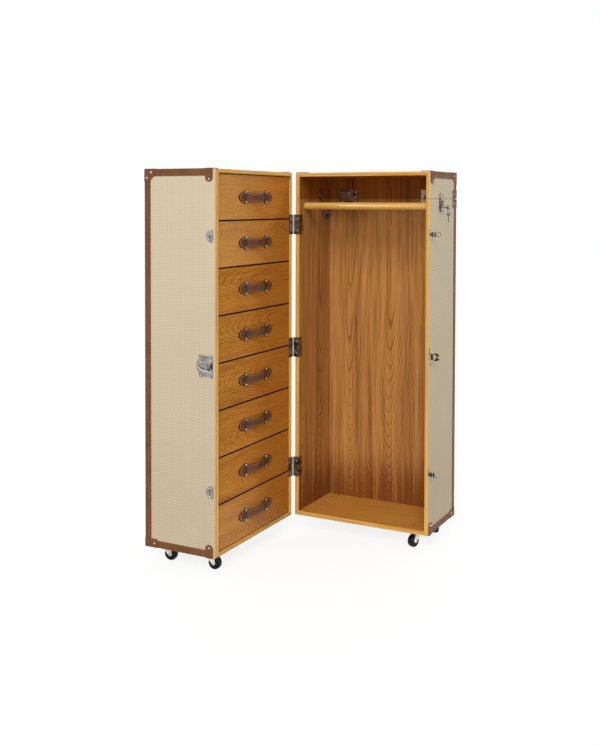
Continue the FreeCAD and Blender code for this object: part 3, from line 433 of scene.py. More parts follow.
def hide(name, light, dark):
    """Dyed leather: pebbled grain from cells, soft clouds of colour and fine scuffs."""
    finish = finish_for(name)
    cloud = finish.grain(16.0, 16.0, 16.0, 4.0)
    scuff = finish.grain(260.0, 260.0, 90.0, 3.0, 0.7)
    share = (cloud - 0.5) * 1.3 + (scuff - 0.5) * 0.5 + 0.5
    relief = finish.pebbles(900.0) * 0.7 + scuff * 0.5
    return finish.done(
        finish.colour(share, dark, light), (scuff - 0.5) * 0.25 + 0.5, relief, 0.00025, 0.3)


def strap_hide(name, light, dark, line):
    """Leather of the pulls: an attribute is 0 along the middle and 1 at the edge, where a
    creased line, paler by a painted highlight, runs inside a burnished rim."""
    finish = finish_for(name)
    rim = finish.attribute("rim")
    crease_and_highlight = rim.step(0.66, 0.74) - rim.step(0.80, 0.88)
    burnish = rim.step(0.84, 0.95)
    cloud = finish.grain(30.0, 30.0, 30.0)
    scuff = finish.grain(300.0, 120.0, 300.0, 3.0, 0.7)
    share = (cloud - 0.5) * 1.1 + (scuff - 0.5) * 0.6 + 0.5 - burnish * 0.9
    # The creased line is a real groove, painted paler as a highlight
    colour = finish.colour(crease_and_highlight * 0.45, finish.colour(share, dark, light), line)
    relief = scuff * 0.35 + finish.pebbles(1000.0) * 0.4 - crease_and_highlight * 0.9
    return finish.done(colour, (scuff - 0.5) * 0.3 + 0.5, relief, 0.0004, 0.25)


def thread(name, light, dark):
    """Waxed thread with a twist."""
    finish = finish_for(name)
    x, y, z = finish.places()
    twist = (x + y + z * 1.3).sine(0.0011)
    return finish.done(finish.colour(twist * 0.5 + 0.5, dark, light), 0.6)


cloth = basket_cloth("woven_cloth", (216, 200, 172), (183, 167, 140))
edging_hide = hide("edging_leather", (128, 77, 33), (82, 45, 18))
keeper_hide = strap_hide("keeper_leather", (106, 66, 44), (46, 26, 16), (170, 128, 112))
pull_hide = strap_hide("pull_leather", (120, 77, 46), (66, 37, 20), (176, 130, 104))
stitching = thread("stitching", (176, 128, 88), (128, 86, 56))


# Metals, rubber and felt

barrel_highlight_edge = (0.0034, 0.0044)


def metal(name, colour, tarnish, rough, mottle=0.7, patch=45.0, axis=None):
    """Plated metal: tarnish in clouds, of which a number fit into a metre, and fine marks
    that vary its gloss. Round an upright axis, as a hinge's barrel, it carries a painted
    highlight."""
    finish = finish_for(name)
    cloud = finish.grain(patch, patch, patch)
    marks = finish.grain(500.0, 500.0, 1400.0, 2.0)
    plain = finish.colour(cloud.step(0.42, 0.62) * mottle, colour, tarnish)
    if axis:
        x, y, _ = finish.places()
        beside, behind = x - axis[0], y - axis[1]
        # Painted highlight: the metal is paler within a few millimetres of the barrel's axis
        near = 1 - (beside * beside + behind * behind).root().step(*barrel_highlight_edge)
        plain = finish.colour(near, plain, (206, 202, 194))
    rough = rough + (marks - 0.5) * 0.22 + (cloud - 0.5) * 0.12
    return finish.done(plain, rough, marks, 0.00003, metallic=1.0)


def moulded(name, light, dark, rough, scale):
    """Rubber, lacquer or felt: clouds of colour under a fine skin of a scale."""
    finish = finish_for(name)
    skin = finish.grain(scale, scale, scale, 3.0, 0.65)
    cloud = finish.grain(40.0, 40.0, 40.0, 2.0, 0.5)
    share = (cloud - 0.35) * 0.8 + (skin - 0.5) * 0.4
    rough = rough + (skin - 0.5) * 0.3
    return finish.done(finish.colour(share, dark, light), rough, skin, 0.00008, 0.2)


def joint_of(name):
    return next(entry for entry in frame["joints"] if entry["name"] == name)


nickel = metal("nickel", (184, 180, 174), (98, 92, 85), 0.22, 0.75)
dull_nickel = metal("dull_nickel", (160, 156, 149), (108, 103, 96), 0.26, 0.7, 40.0)
aged_nickel = metal("aged_nickel", (158, 153, 146), (66, 60, 54), 0.22, 0.9, 60.0)
bright_metal = metal("bright_steel", (212, 208, 202), (146, 141, 134), 0.18)
dark_nickel = metal("dark_nickel", (80, 66, 58), (28, 21, 18), 0.24)
spring_steel = metal("spring_steel", (20, 19, 19), (8, 8, 8), 0.45)
hinge_metal = metal("hinge_steel", (150, 142, 130), (58, 52, 46), 0.30, 1.0, 60.0,
                    joint_of("fold")["pos_m"][:2])
lid_hinge_metal = metal(
    "lid_hinge_steel", (164, 142, 118), (78, 62, 48), 0.36, 1.0, 50.0)
stay_metal = metal("stay_steel", (176, 174, 178), (80, 78, 82), 0.34, 0.9, 70.0)
pressed_steel = metal("caster_steel", (232, 225, 214), (200, 190, 177), 0.42)
black_lacquer = moulded(
    "black_lacquer", (34, 33, 32), (12, 12, 12), 0.34, 300.0)
rubber = moulded("wheel_rubber", (20, 20, 21), (5, 5, 6), 0.24, 420.0)
# Dark felt that fills the lid seam as painted shade
felt = moulded("felt", (58, 46, 36), (36, 27, 20), 0.95, 1500.0)


# Making pieces

merge_distance = 1e-6
weld_distance = 1e-7
flat_angle = 0.5
sharp_angle = 28


def body_of(node):
    return frame["nodes"][node]["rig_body"]


def settle(name, mesh, finish, body, nodes=()):
    """Object at the origin that rides on a body and the nodes it replaces."""
    mesh.materials.clear()
    mesh.materials.append(finish)
    piece = bpy.data.objects.new(name, mesh)
    scene.collection.objects.link(piece)
    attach(piece, body)
    if nodes:
        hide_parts(*nodes)
    return piece


def smooth(mesh, degrees):
    """Smooth shading with edges sharper than an angle kept sharp."""
    mesh.polygons.foreach_set("use_smooth", np.ones(len(mesh.polygons), bool))
    mesh.set_sharp_from_angle(angle=math.radians(degrees))


def softened(node, width, finish):
    """Merged copy of a CAD node with its sharp edges rounded, which replaces it."""
    mesh = frame["nodes"][node].data.copy()
    form = bmesh.new()
    form.from_mesh(mesh)
    bmesh.ops.remove_doubles(form, verts=form.verts, dist=merge_distance)
    bmesh.ops.dissolve_limit(
        form, angle_limit=math.radians(flat_angle), verts=form.verts, edges=form.edges)
    form.to_mesh(mesh)
    form.free()
    smooth(mesh, sharp_angle)
    piece = settle(f"{node}_made", mesh, finish, body_of(node), (node,))
    bevel = piece.modifiers.new("rounded_edges", "BEVEL")
    bevel.width = width * MM
    bevel.segments = 2
    bevel.limit_method = "ANGLE"
    bevel.angle_limit = math.radians(sharp_angle)
    bevel.harden_normals = True


class Shell:
    """Closed surfaces gathered for one piece."""

    def __init__(self):
        self.points = []
        self.faces = []
        self.values = {}
        self.count = 0

    def add(self, points, faces, **values):
        """Points, and faces as arrays of one number of corners each."""
        points = np.asarray(points, float).reshape(-1, 3)
        self.points.append(points)
        self.faces += [np.asarray(block) + self.count for block in faces]
        for key, value in values.items():
            self.values.setdefault(key, []).append(np.asarray(value, float).reshape(-1))
        self.count += len(points)

    def sweep(self, rings, closed=False, **values):
        """Rows of closed outlines joined in order, with a face over each end unless the
        last row meets the first."""
        rings = np.asarray(rings, float)
        rows, around = rings.shape[:2]
        index = np.arange(rows * around).reshape(rows, around)
        below = index if closed else index[:-1]
        above = np.roll(index, -1, 0) if closed else index[1:]
        quads = np.stack(
            (below, np.roll(below, -1, 1), np.roll(above, -1, 1), above), -1).reshape(-1, 4)
        faces = [quads] if closed else [quads, index[:1, ::-1], index[-1:]]
        self.add(rings, faces, **values)

    def strew(self, shape, origins, axes):
        """Copies of a shape: point = origin + shape x axes, for arrays of places."""
        points, faces = shape
        origins = np.asarray(origins, float)
        placed = origins[:, None, :] + np.einsum("pk,nkj->npj", points, np.asarray(axes, float))
        shift = np.arange(len(origins))[:, None, None] * len(points)
        self.add(placed, [(block + shift).reshape(-1, block.shape[1]) for block in faces])

    def piece(self, name, finish, body, nodes=(), degrees=40):
        """The finished object, welded at seams and poles, with its faces outwards."""
        mesh = bpy.data.meshes.new(name)
        faces = [face for block in self.faces for face in block.tolist()]
        mesh.from_pydata((np.concatenate(self.points) * MM).tolist(), [], faces)
        for key, value in self.values.items():
            attribute = mesh.attributes.new(key, "FLOAT", "POINT")
            attribute.data.foreach_set("value", np.concatenate(value))
        form = bmesh.new()
        form.from_mesh(mesh)
        bmesh.ops.remove_doubles(form, verts=form.verts, dist=weld_distance)
        bmesh.ops.recalc_face_normals(form, faces=form.faces)
        form.to_mesh(mesh)
        form.free()
        smooth(mesh, degrees)
        settle(name, mesh, finish, body, nodes)


def grid_faces(rows, columns, wrapped=False):
    """Quads between neighbouring points of a grid, wrapped round its columns or not."""
    index = np.arange(rows * columns).reshape(rows, columns)
    turn = np.roll(index, -1, 1) if wrapped else index[:, 1:]
    index = index if wrapped else index[:, :-1]
    return np.stack((index[:-1], turn[:-1], turn[1:], index[1:]), -1).reshape(-1, 4)


def circle(count):
    """Even turns of a full circle."""
    return np.linspace(0, math.tau, count, endpoint=False)


def about_z(r, t, z):
    """Points (r cos t, r sin t, z)."""
    return np.stack((r * np.cos(t), r * np.sin(t), z + 0 * t), -1)


def turned(profile, sides):
    """Points and faces of the surface of revolution about Z of a profile of r and z."""
    profile = np.asarray(profile, float)
    rings = about_z(profile[:, :1], circle(sides), profile[:, 1:])
    return rings.reshape(-1, 3), [grid_faces(len(profile), sides, True)]


def slotted_head(radius, rise):
    """Screw head: the square grid (a, b) is drawn out to a disc by
    x = a sqrt(1 - b^2/2), y = b sqrt(1 - a^2/2), domed by 1 - 0.7 r^2, with a slot where
    b is small."""
    a = np.array((-1, -0.6, -0.2, 0.2, 0.6, 1.0))
    b = np.array((-1, -0.5, -0.16, -0.13, 0.13, 0.16, 0.5, 1.0))
    a, b = np.meshgrid(a, b, indexing="ij")
    x = a * np.sqrt(1 - b * b / 2)
    y = b * np.sqrt(1 - a * a / 2)
    top = rise * (1 - 0.7 * (x * x + y * y)) - rise * 0.8 * (np.abs(b) < 0.14)
    rim = np.maximum(np.abs(a), np.abs(b)) >= 1
    upper = np.stack((x * radius, y * radius, np.where(rim, 0.0, top)), -1)
    lower = np.stack((x * radius, y * radius, np.where(rim, 0.0, -0.4)), -1)
    quads = grid_faces(*a.shape)
    points = np.concatenate((upper.reshape(-1, 3), lower.reshape(-1, 3)))
    return points, [quads, quads[:, ::-1] + a.size]


def dome(radius, rise, root=0.3):
    """Domed rivet with a small flat rim, sunk by its root."""
    profile = ((0, rise), (radius * 0.38, rise * 0.93), (radius * 0.7, rise * 0.66),
               (radius * 0.88, rise * 0.3), (radius, rise * 0.12), (radius, -root), (0, -root))
    return turned(profile, 12)


def fittings(shell, shape, half, spots, normal, up=(0, 0, 1)):
    """A shape at spots of a half, standing out along a direction of that half."""
    out = half.way(*normal)
    high = half.way(*up)
    axes = np.stack((np.cross(high, out), high, out))
    spots = np.asarray(spots, float).reshape(-1, 3)
    shell.strew(shape, half.place(*spots.T), np.repeat(axes[None], len(spots), 0))


def fitted(name, finish, body, *groups):
    """Piece of fittings, each group of them with a shape, a half, spots and directions."""
    shell = Shell()
    for group in groups:
        fittings(shell, *group)
    shell.piece(name, finish, body)


# Every CAD node gets its finish; sharp-edged ones are remade with rounded edges

for node, finish in (
        ("wardrobe_carcass", veneer), ("lid_carcass", lid_shaded_veneer), ("drawer_case_carcass", veneer),
        ("wardrobe_cover", cloth), ("lid_cover", cloth), ("drawer_case_cover", cloth)):
    frame["nodes"][node].data.materials.clear()
    frame["nodes"][node].data.materials.append(finish)

fronts = [f"drawer_{number}" for number in range(1, 9)]
for width, finish, nodes in (
        (0.6, rail_wood, ("hanging_rail", "drawer_runners")),
        (0.7, front_wood, fronts),
        (0.5, edging_hide, ("wardrobe_edging", "lid_edging", "drawer_case_edging")),
        (0.3, hinge_metal, ("trunk_hinge_fixed_leaves", "trunk_hinge_moving_leaves")),
        (0.3, lid_hinge_metal, ("lid_hinge_lower_leaves", "lid_hinge_upper_leaves")),
        (0.35, nickel, ("latch_plates", "lid_lock_catch")),
        (0.35, dull_nickel, ("lower_latch_lever", "upper_latch_lever", "lock_strikes")),
        (0.35, aged_nickel, ("lid_lock_case",)),
        (0.25, aged_nickel, ("lock_key",)),
        (0.5, dark_nickel, ("centre_hasp",)),
        (0.35, stay_metal,
         ("stay_side_bracket", "stay_lid_bracket", "stay_upper_arm", "stay_lower_arm"))):
    for node in nodes:
        softened(node, width, finish)
for node in frame["nodes"]:
    if node.endswith("caster_plates"):
        softened(node, 0.5, black_lacquer)
    if node.endswith("caster_fork"):
        softened(node, 0.5, pressed_steel)


# Lipping members

hinge_low, hinge_high, _ = spread("trunk_hinge_fixed_leaves")
hinge_reach = 40.0
middle_hinge = 690.0
hinge_heights = (hinge_low[2] + hinge_reach, middle_hinge, hinge_high[2] - hinge_reach)
lipping_depth = 8.0
lipping_arris = 0.6
rebate_inset = 8.2
rebate_depth = 2.6
tongue_insets = (8.8, 14.4)
tongue_front = spread("drawer_case_lipping", drawers)[0][1]
hinge_slack = 0.6
joint = 0.12
sunk = 0.5
grain_step = 37.0


def rounded(outline, radius):
    """Outline with each corner drawn as three points: corner + radius toward either
    neighbour, and (before + 2 corner + after) / 4 between them."""
    outline = np.asarray(outline, float)
    before = np.roll(outline, 1, 0) - outline
    after = np.roll(outline, -1, 0) - outline
    start = outline + radius * before / np.linalg.norm(before, axis=1, keepdims=True)
    end = outline + radius * after / np.linalg.norm(after, axis=1, keepdims=True)
    return np.stack((start, (start + 2 * outline + end) / 4, end), 1).reshape(-1, 2)


def bar(shell, half, side, insets, depths, span, mitres=(False, False)):
    """Straight member: the rounded oblong of its insets and depths is carried along an
    edge. A mitred end lies further in by the inset."""
    (near, far), (front, back) = insets, depths
    corners = ((near, front), (far, front), (far, back), (near, back))
    inset, depth = rounded(corners, lipping_arris).T
    start = span[0] + mitres[0] * inset + joint
    end = span[1] - mitres[1] * inset - joint
    along = start + (end - start) * np.array((0.0, 1.0))[:, None]
    inset, depth = inset + 0 * along, depth + 0 * along
    cut = grain_step * len(shell.points)
    shell.sweep(half.edges()[side].place(inset, depth, along),
                along=(along + cut) * MM, across=(inset + depth + 3 * cut) * MM)


def rebated(shell, side, span, mitres):
    """Wardrobe lipping: a full-depth outer strip and a lower inner one."""
    for insets, front in (
            ((cover, rebate_inset), 0), ((rebate_inset - sunk, wall), rebate_depth)):
        bar(shell, wardrobe, side, insets, (front, lipping_depth), span, mitres)


body_lipping = Shell()
for side in ("hinged", "outer"):
    rebated(body_lipping, side, (0, body_top), (True, False))
rebated(body_lipping, "floor", (0, case_width), (True, True))
for height in hinge_heights:
    bar(body_lipping, wardrobe, "hinged", (rebate_inset - sunk, wall), (0, lipping_depth - sunk),
        (height - hinge_reach, height + hinge_reach))
body_lipping.piece(
    "wardrobe_lipping_members", lipping_wood, "wardrobe_case", ("wardrobe_lipping",))

lid_lipping = Shell()
for side in ("hinged", "outer"):
    rebated(lid_lipping, side, (lid_bottom, case_height), (False, True))
rebated(lid_lipping, "top", (0, case_width), (True, True))
lid_lipping.piece("lid_lipping_members", lipping_wood, "lid", ("lid_lipping",))

case_lipping = Shell()
tongue_depths = (tongue_front, sunk)
for side, length in (("hinged", case_height), ("outer", case_height),
                     ("floor", case_width), ("top", case_width)):
    bar(case_lipping, drawers, side, (cover, wall), (0, lipping_depth), (0, length), (True, True))
    if side != "hinged":
        bar(case_lipping, drawers, side, tongue_insets, tongue_depths, (0, length), (True, True))
clear = hinge_reach + hinge_slack
tongue_starts = (0, *(height + clear for height in hinge_heights))
tongue_ends = (*(height - clear for height in hinge_heights), case_height)
for start, end in zip(tongue_starts, tongue_ends):
    mitres = (start == 0, end == case_height)
    bar(case_lipping, drawers, "hinged", tongue_insets, tongue_depths, (start, end), mitres)
case_lipping.piece(
    "drawer_case_lipping_members", lipping_wood, "drawer_case", ("drawer_case_lipping",))


# Dark felt along the lid seam, in the middle of the boards' edge, as painted shade in the seam

felt_rise = 0.98
felt_root = 0.2
felt_half = 5.5
felt_arris = 0.2
felt_front = 3.2
felt_lap = 5.0
lid_hinge_width = 83.0
lid_hinge_slack = 1.0
lid_hinge_start = spread("lid_hinge_lower_leaves")[0][0]
near = (cover + wall) / 2
far = case_width - near
back_line = case_depth - near
gap_start = lid_hinge_start - lid_hinge_slack
gap_end = lid_hinge_start + lid_hinge_width + lid_hinge_slack
seam_runs = [((u, felt_front), (u, back_line + felt_lap)) for u in (near, far)]
seam_runs += [((start, back_line), (end, back_line)) for start, end in (
    (near, gap_start), (gap_end, case_width - gap_end), (case_width - gap_start, far))]
felt_section = rounded(((-felt_half, -felt_root), (felt_half, -felt_root),
                        (felt_half, felt_rise), (-felt_half, felt_rise)), felt_arris)
seam_shade_felt = Shell()
for ends in np.array(seam_runs):
    run = (ends[1] - ends[0]) / np.linalg.norm(ends[1] - ends[0])
    beside = np.array((run[1], -run[0]))
    rows = ends[:, None, :] + felt_section[None, :, :1] * beside
    seam_shade_felt.sweep(wardrobe.place(rows[..., 0], rows[..., 1], body_top + felt_section[:, 1]))
seam_shade_felt.piece("seam_shade_felt", felt, "wardrobe_case")


# Leather pulls

strap_thickness = 3.5
strap_rise = 18.0
strap_disc = 20.5
strap_end = 42.0
strap_waist = 13.5
hold = 76.0
keeper_width = 13.0
keeper_leather = 2.0
keeper_height = 53.0
keeper_cut = 3.9
keeper_bend = 16.5
keeper_climb = (23.4, 3.4)
strap_slack = 0.1
strap_length = 250.0
pull_rivet_row = 18.8


def leather_section(turns, thickness, edge):
    """Round-edged strap section: across = sgn(c) |c|^0.5 and up = (1 + sgn(s) |s|^edge) / 2
    times the thickness, for the cosine c and sine s of each turn."""
    c, s = np.cos(turns), np.sin(turns)
    across = np.sign(c) * np.sqrt(np.abs(c))
    return across, thickness * (0.5 + 0.5 * np.sign(s) * np.abs(s) ** edge)


def pull_strap():
    """Bowed strap: its half width is disc sqrt(1 - e^2) for the share e of the way along
    its oval end, the disc between end and keeper, then waist + (disc - waist) s^2 for the
    share s of the way to the keeper's middle. It stands at rise (1 - f^2)^1.3 for the share
    f of the way to the keeper's edge. Returns points along, out and across, and the rim."""
    neck = strap_length / 2 - strap_end
    foot = hold - keeper_width / 2
    bend = np.sin(np.linspace(0, math.pi / 2, 12)) * strap_end
    flat = np.linspace(foot, neck, 5)[:-1]
    x = np.concatenate((np.linspace(0, foot, 15)[:-1], flat, neck + bend))
    x = np.concatenate((-x[:0:-1], x))
    beyond = np.clip(np.abs(x) - neck, 0, strap_end) / strap_end
    half = np.where(
        np.abs(x) < hold, strap_waist + (strap_disc - strap_waist) * (x / hold) ** 2,
        strap_disc * np.sqrt(np.maximum(1 - beyond ** 2, 0)))
    full = np.clip(half / strap_disc, 0, 1) ** 0.4
    lift = strap_rise * np.clip(1 - (x / foot) ** 2, 0, 1) ** 1.3
    across, up = leather_section(circle(24), strap_thickness, 0.45)
    wide = half[:, None] * across
    out = lift[:, None] + (up - strap_thickness / 2) * full[:, None] + strap_thickness / 2
    along = x[:, None] + 0 * wide
    reach = np.where(beyond > 0, strap_disc, half)
    rim = np.sqrt(beyond ** 2 + (wide.T / reach) ** 2).T
    return along, out, wide, rim


def pull_keeper():
    """Keeper across the strap: it climbs by c^2 (3 - 2 c) from the drawer to the strap's
    face, and its half width narrows over the cut corners."""
    end = keeper_height / 2
    corner = np.linspace(-end, -end + keeper_cut, 4)[:-1]
    foot = np.linspace(-end + keeper_cut, -keeper_bend, 12)
    z = np.concatenate((corner, foot, (-12.0, -6.0, 0.0, 6.0, 12.0), -foot[::-1], -corner[::-1]))
    half = np.minimum(keeper_width / 2, keeper_width / 2 - keeper_cut + (end - np.abs(z)))
    climb = np.clip((keeper_climb[0] - np.abs(z)) / keeper_climb[1], 0, 1)
    lift = (strap_thickness + strap_slack) * climb * climb * (3 - 2 * climb)
    across, up = leather_section(circle(16), keeper_leather, 0.6)
    wide = half[:, None] * across
    rim = np.abs(wide) / (keeper_width / 2)
    return wide, lift[:, None] + up, z[:, None] + 0 * wide, rim


along, stand, wide, strap_rim = pull_strap()
keeper_wide, keeper_stand, keeper_rise, keeper_rim = pull_keeper()
for front in fronts:
    node = f"{front}_pull"
    body = body_of(node)
    across, _, up = spread(node, drawers)[2]
    place = drawers.at(across, drawer_face, up)
    band = Shell()
    band.sweep(place.place(along, -stand, wide), rim=strap_rim)
    band.piece(f"{node}_strap", pull_hide, body, (node,), 60)
    holders = Shell()
    for hold_at in (-hold, hold):
        holders.sweep(place.place(hold_at + keeper_wide, -keeper_stand, keeper_rise),
                      rim=keeper_rim)
    holders.piece(f"{node}_keepers", keeper_hide, body, (), 60)
    spots = [(u, -keeper_leather - strap_thickness, h)
             for u in (-hold, hold) for h in (-pull_rivet_row, pull_rivet_row)]
    fitted(f"{node}_rivets", bright_metal, body,
           (dome(4.6, 2.6, 1.6), place, spots, (0, -1, 0)))


# Rivets in the leather

rivet = dome(3.6, 2.0)
out = 2.8
tab = case_depth - 26.0
clip_inset, clip_half = 31.0, 18.0
foot_spots = ((-out, 40, 15), (40, -out, 15), (-out, tab, 34), (18, tab, -out))
cap_spots = ((-out, 28, 11), (-out, 9, 31), (28, -out, 11), (9, -out, 31), (28, 11, -out),
             (9, 30, -out), (-out, tab, 37), (36, tab, -out))


def clip_spots(seam):
    """Spots on the clips beside a seam, from the top of a half."""
    return (-out, clip_inset, case_height - seam), (clip_inset, -out, case_height - seam)


def corner_rivets(half, end, spots):
    """Groups of rivets at the two back corners of a half's bottom or top. A spot is
    measured inward, and its rivet stands out where the spot lies outside."""
    return [(rivet, corner, [spot], np.minimum(spot, 0), (0, 1, 0) if spot[2] < 0 else (0, 0, 1))
            for corner in half.back_corners(end) for spot in spots]


# Stitching along the inner edges of the leather edging

stitch_pitch = 6.0
stitch_inset = 22.0
stitch_lift = 1.6
stitch_front = case_depth - 46.0
stitch_reaches = (56.0, 48.0)
clip_gaps = (38.0, 36.0)
upright_start = 34.0
upright_end = case_height - stitch_reaches[1]
stitch = turned(((0, -1.9), (0.42, -1.3), (0.42, 1.3), (0, 1.9)), 5)


def stitch_row(shell, half, start, end, normal):
    """Stitches between two spots of a half, each lying along the row."""
    start, end = np.asarray(start, float), np.asarray(end, float)
    length = np.linalg.norm(end - start)
    count = int(length / stitch_pitch)
    shares = (np.arange(count) + 0.5)[:, None] / count
    spots = start + (end - start) * shares
    run = half.way(*((end - start) / length))
    out = half.way(*normal)
    axes = np.stack((np.cross(out, run), out, run))
    shell.strew(stitch, half.place(*spots.T), np.repeat(axes[None], count, 0))


def upright_rows(shell, half, bottom, top):
    """Rows on either face of the two back corners, between two heights."""
    for corner in half.back_corners(0):
        for u, d, normal in ((-stitch_lift, stitch_inset, (-1, 0, 0)),
                             (stitch_inset, -stitch_lift, (0, -1, 0))):
            stitch_row(shell, corner, (u, d, bottom), (u, d, top), normal)


def level_rows(shell, half, end):
    """Rows round the bottom or top of a half, and at the top also on its upper face."""
    reach = stitch_reaches[end]
    corners = list(half.back_corners(end))
    rows = [(-stitch_lift, stitch_inset, (-1, 0, 0), (0, -1, 0))]
    if end:
        rows.append((stitch_inset, -stitch_lift, (0, 0, -1), (0, 0, -1)))
    for inset, drop, normal, back_normal in rows:
        for corner in corners:
            stitch_row(shell, corner, (inset, stitch_front, drop), (inset, reach, drop), normal)
        stitch_row(shell, corners[0], (reach, inset, drop), (case_width - reach, inset, drop),
                   back_normal)


for body, half, rivets, ends, bottom, top in (
        ("wardrobe_case", wardrobe, ((0, foot_spots), (1, clip_spots(body_top - clip_half))),
         (0,), upright_start, lid_seam - clip_gaps[0]),
        ("lid", wardrobe, ((1, cap_spots), (1, clip_spots(lid_bottom + clip_half))),
         (1,), lid_seam + clip_gaps[1], upright_end),
        ("drawer_case", drawers, ((0, foot_spots), (1, cap_spots)),
         (0, 1), upright_start, upright_end)):
    fitted(f"{body}_leather_rivets", bright_metal, body,
           *(group for end, spots in rivets for group in corner_rivets(half, end, spots)))
    stitches = Shell()
    upright_rows(stitches, half, bottom, top)
    for end in ends:
        level_rows(stitches, half, end)
    stitches.piece(f"{body}_stitching", stitching, body)


# Rivets and screws in the plates

plate_face = case_width + 1.5
receiver_plate = 2.0

# In each pair: how far in from the open face, or across for the leaf screws, and how far
# above and below the middle
catch_rivets, star_rivets, strike_rivets = (7.6, 16.5), (16.5, 31.5), (12.5, 16.5)
receiver_rivets = ((18.0, 36.5), (60.5, 36.5))
leaf_screws, leg_screws = (8.0, 23.0), (19.0, 27.0)

lock_rivets = (5.0, 27.0)
rivet_drop = 6.0
leaf_thickness = 1.2
leaf_face = -leaf_thickness
leg_face = wall + leaf_thickness
outward = (1, 0, 0)
latch_heights = [spread(f"{name}_latch_lever")[2][2] for name in ("lower", "upper")]
hasp_height = spread("centre_hasp")[2][2]
lock_low, lock_high, _ = spread("lid_lock_case")
catch_low, catch_high, _ = spread("lid_lock_catch")
small_rivet = dome(2.0, 1.2)
screw = slotted_head(3.6, 1.1)
flush_screw = slotted_head(3.6, 0.15)
small_screw = slotted_head(3.0, 1.0)


def spaced(heights, across, depth, reach, ways=(-1, 1)):
    """Spots at a reach below and above each of some heights."""
    return [(across, depth, height + way * reach) for height in heights for way in ways]


lock_spots = [(lock_high[0], lock_low[1] + inset, lock_high[2] - rivet_drop)
              for inset in lock_rivets]
fitted("plate_rivets", nickel, "wardrobe_case",
       (small_rivet, wardrobe, spaced(latch_heights, plate_face, *catch_rivets), outward),
       (dome(3.0, 1.8), wardrobe, spaced([hasp_height], plate_face, *star_rivets), outward),
       (small_rivet, wardrobe, lock_spots, outward))

catch_spots = [(catch_high[0], catch_low[1] + inset, lid_bottom + rivet_drop)
               for inset in lock_rivets]
fitted("lock_catch_rivets", nickel, "lid", (small_rivet, wardrobe, catch_spots, outward))

receiver_face = case_width + receiver_plate
receiver_spots = [
    spot for pair in receiver_rivets for spot in spaced([hasp_height], receiver_face, *pair)]
fitted("strike_rivets", nickel, "drawer_case",
       (small_rivet, drawers, spaced(latch_heights, plate_face, *strike_rivets), outward),
       (dome(3.4, 2.0), drawers, receiver_spots, outward))

# Two screws go through each leaf into the lipping, sunk so that the closed leaves clear
# them, and three into the side board

for half, body in ((wardrobe, "wardrobe_case"), (drawers, "drawer_case")):
    faced = spaced(hinge_heights, leaf_screws[0], leaf_face, leaf_screws[1])
    legs = spaced(hinge_heights, leg_face, *leg_screws, (-1, 0, 1))
    fitted(f"{body}_hinge_screws", pressed_steel, body,
           (flush_screw, half, faced, (0, -1, 0), (0.25, 0, 1)),
           (small_screw, half, legs, outward, (0, 0.3, 1)))

lid_hinge_holes = ((11.0, 11.0), (11.0, 28.0), (41.5, 24.0), (72.0, 11.0), (72.0, 28.0))
for body, way in (("wardrobe_case", -1), ("lid", 1)):
    spots = [(start + across, case_depth - wall - leaf_thickness, lid_seam + way * rise)
             for start in (lid_hinge_start, case_width - lid_hinge_start - lid_hinge_width)
             for across, rise in lid_hinge_holes]
    fitted(f"{body}_lid_hinge_screws", pressed_steel, body,
           (screw, wardrobe, spots, (0, -1, 0), (0.4, 0, 1)))


# Springs round the catches' barrels, and along the levers

spring_pivot = (case_width + 4.6, 6.0)
barrel_spring = (3.35, 0.55)
barrel_springs = ((-5.4, -1.4), (1.4, 5.4))
lever_spring = (2.3, 0.8)
lever_spring_half = 8.8
lever_springs = (7.0, 16.5)


def coil(radius, wire, low, high, turns):
    """Helix of round wire about Z: centre (radius cos t, radius sin t, rising evenly), with
    a five-sided section in the plane of the axis."""
    t = np.linspace(0, math.tau * turns, int(turns * 12) + 1)[:, None]
    s = circle(5)
    z = low + (high - low) * t / t[-1] + wire * np.sin(s)
    return about_z(radius + wire * np.cos(s), t, z)


for name, height in zip(("lower", "upper"), latch_heights):
    spring = Shell()
    pivot = wardrobe.place(*spring_pivot, height)
    for low, high in barrel_springs:
        spring.sweep(coil(*barrel_spring, low, high, 3.5) + pivot)
    for reach in lever_springs:
        spring.sweep(
            coil(*lever_spring, -lever_spring_half, lever_spring_half, 11) + pivot + (reach, 0, 0))
    spring.piece(f"{name}_latch_spring", spring_steel, f"{name}_latch_lever")


# Dark slide on the lock with its button, between the lid's catch and the key

def plate(name, finish, body, half, face, edge, levels, shares=(1.0,)):
    """Plate on a half's outer end: its edge, as depths and heights, is carried out through
    levels above a face, times a share at each level."""
    levels = np.array(levels)[:, None]
    shares = np.array(shares)[:, None]
    shell = Shell()
    shell.sweep(half.place(face + levels, edge[:, 0] * shares, edge[:, 1] * shares))
    shell.piece(name, finish, body)


def oblong(width, height, radius):
    """Oblong about its middle with rounded corners."""
    corners = np.array(((-1, -1), (1, -1), (1, 1), (-1, 1))) * (width / 2, height / 2)
    return rounded(corners, radius)


lock_face = lock_high[0]
lock_middle = 122.0
slide_drop = 17.0
slide_middle = lock_high[2] - slide_drop
slide_rise = 1.0
slide_edge = oblong(19.0, 24.0, 4.0)
plate("lock_slide", black_lacquer, "wardrobe_case", wardrobe.at(0, lock_middle, slide_middle),
      lock_face, slide_edge, (-0.2, 0.6, slide_rise), (1.0, 1.0, 0.93))
fitted("lock_button", bright_metal, "wardrobe_case",
       (dome(3.6, 3.0), wardrobe, [(lock_face + slide_rise, lock_middle, slide_middle)], outward))


# Embossed rims of the strikes, and the receiver of the hasp

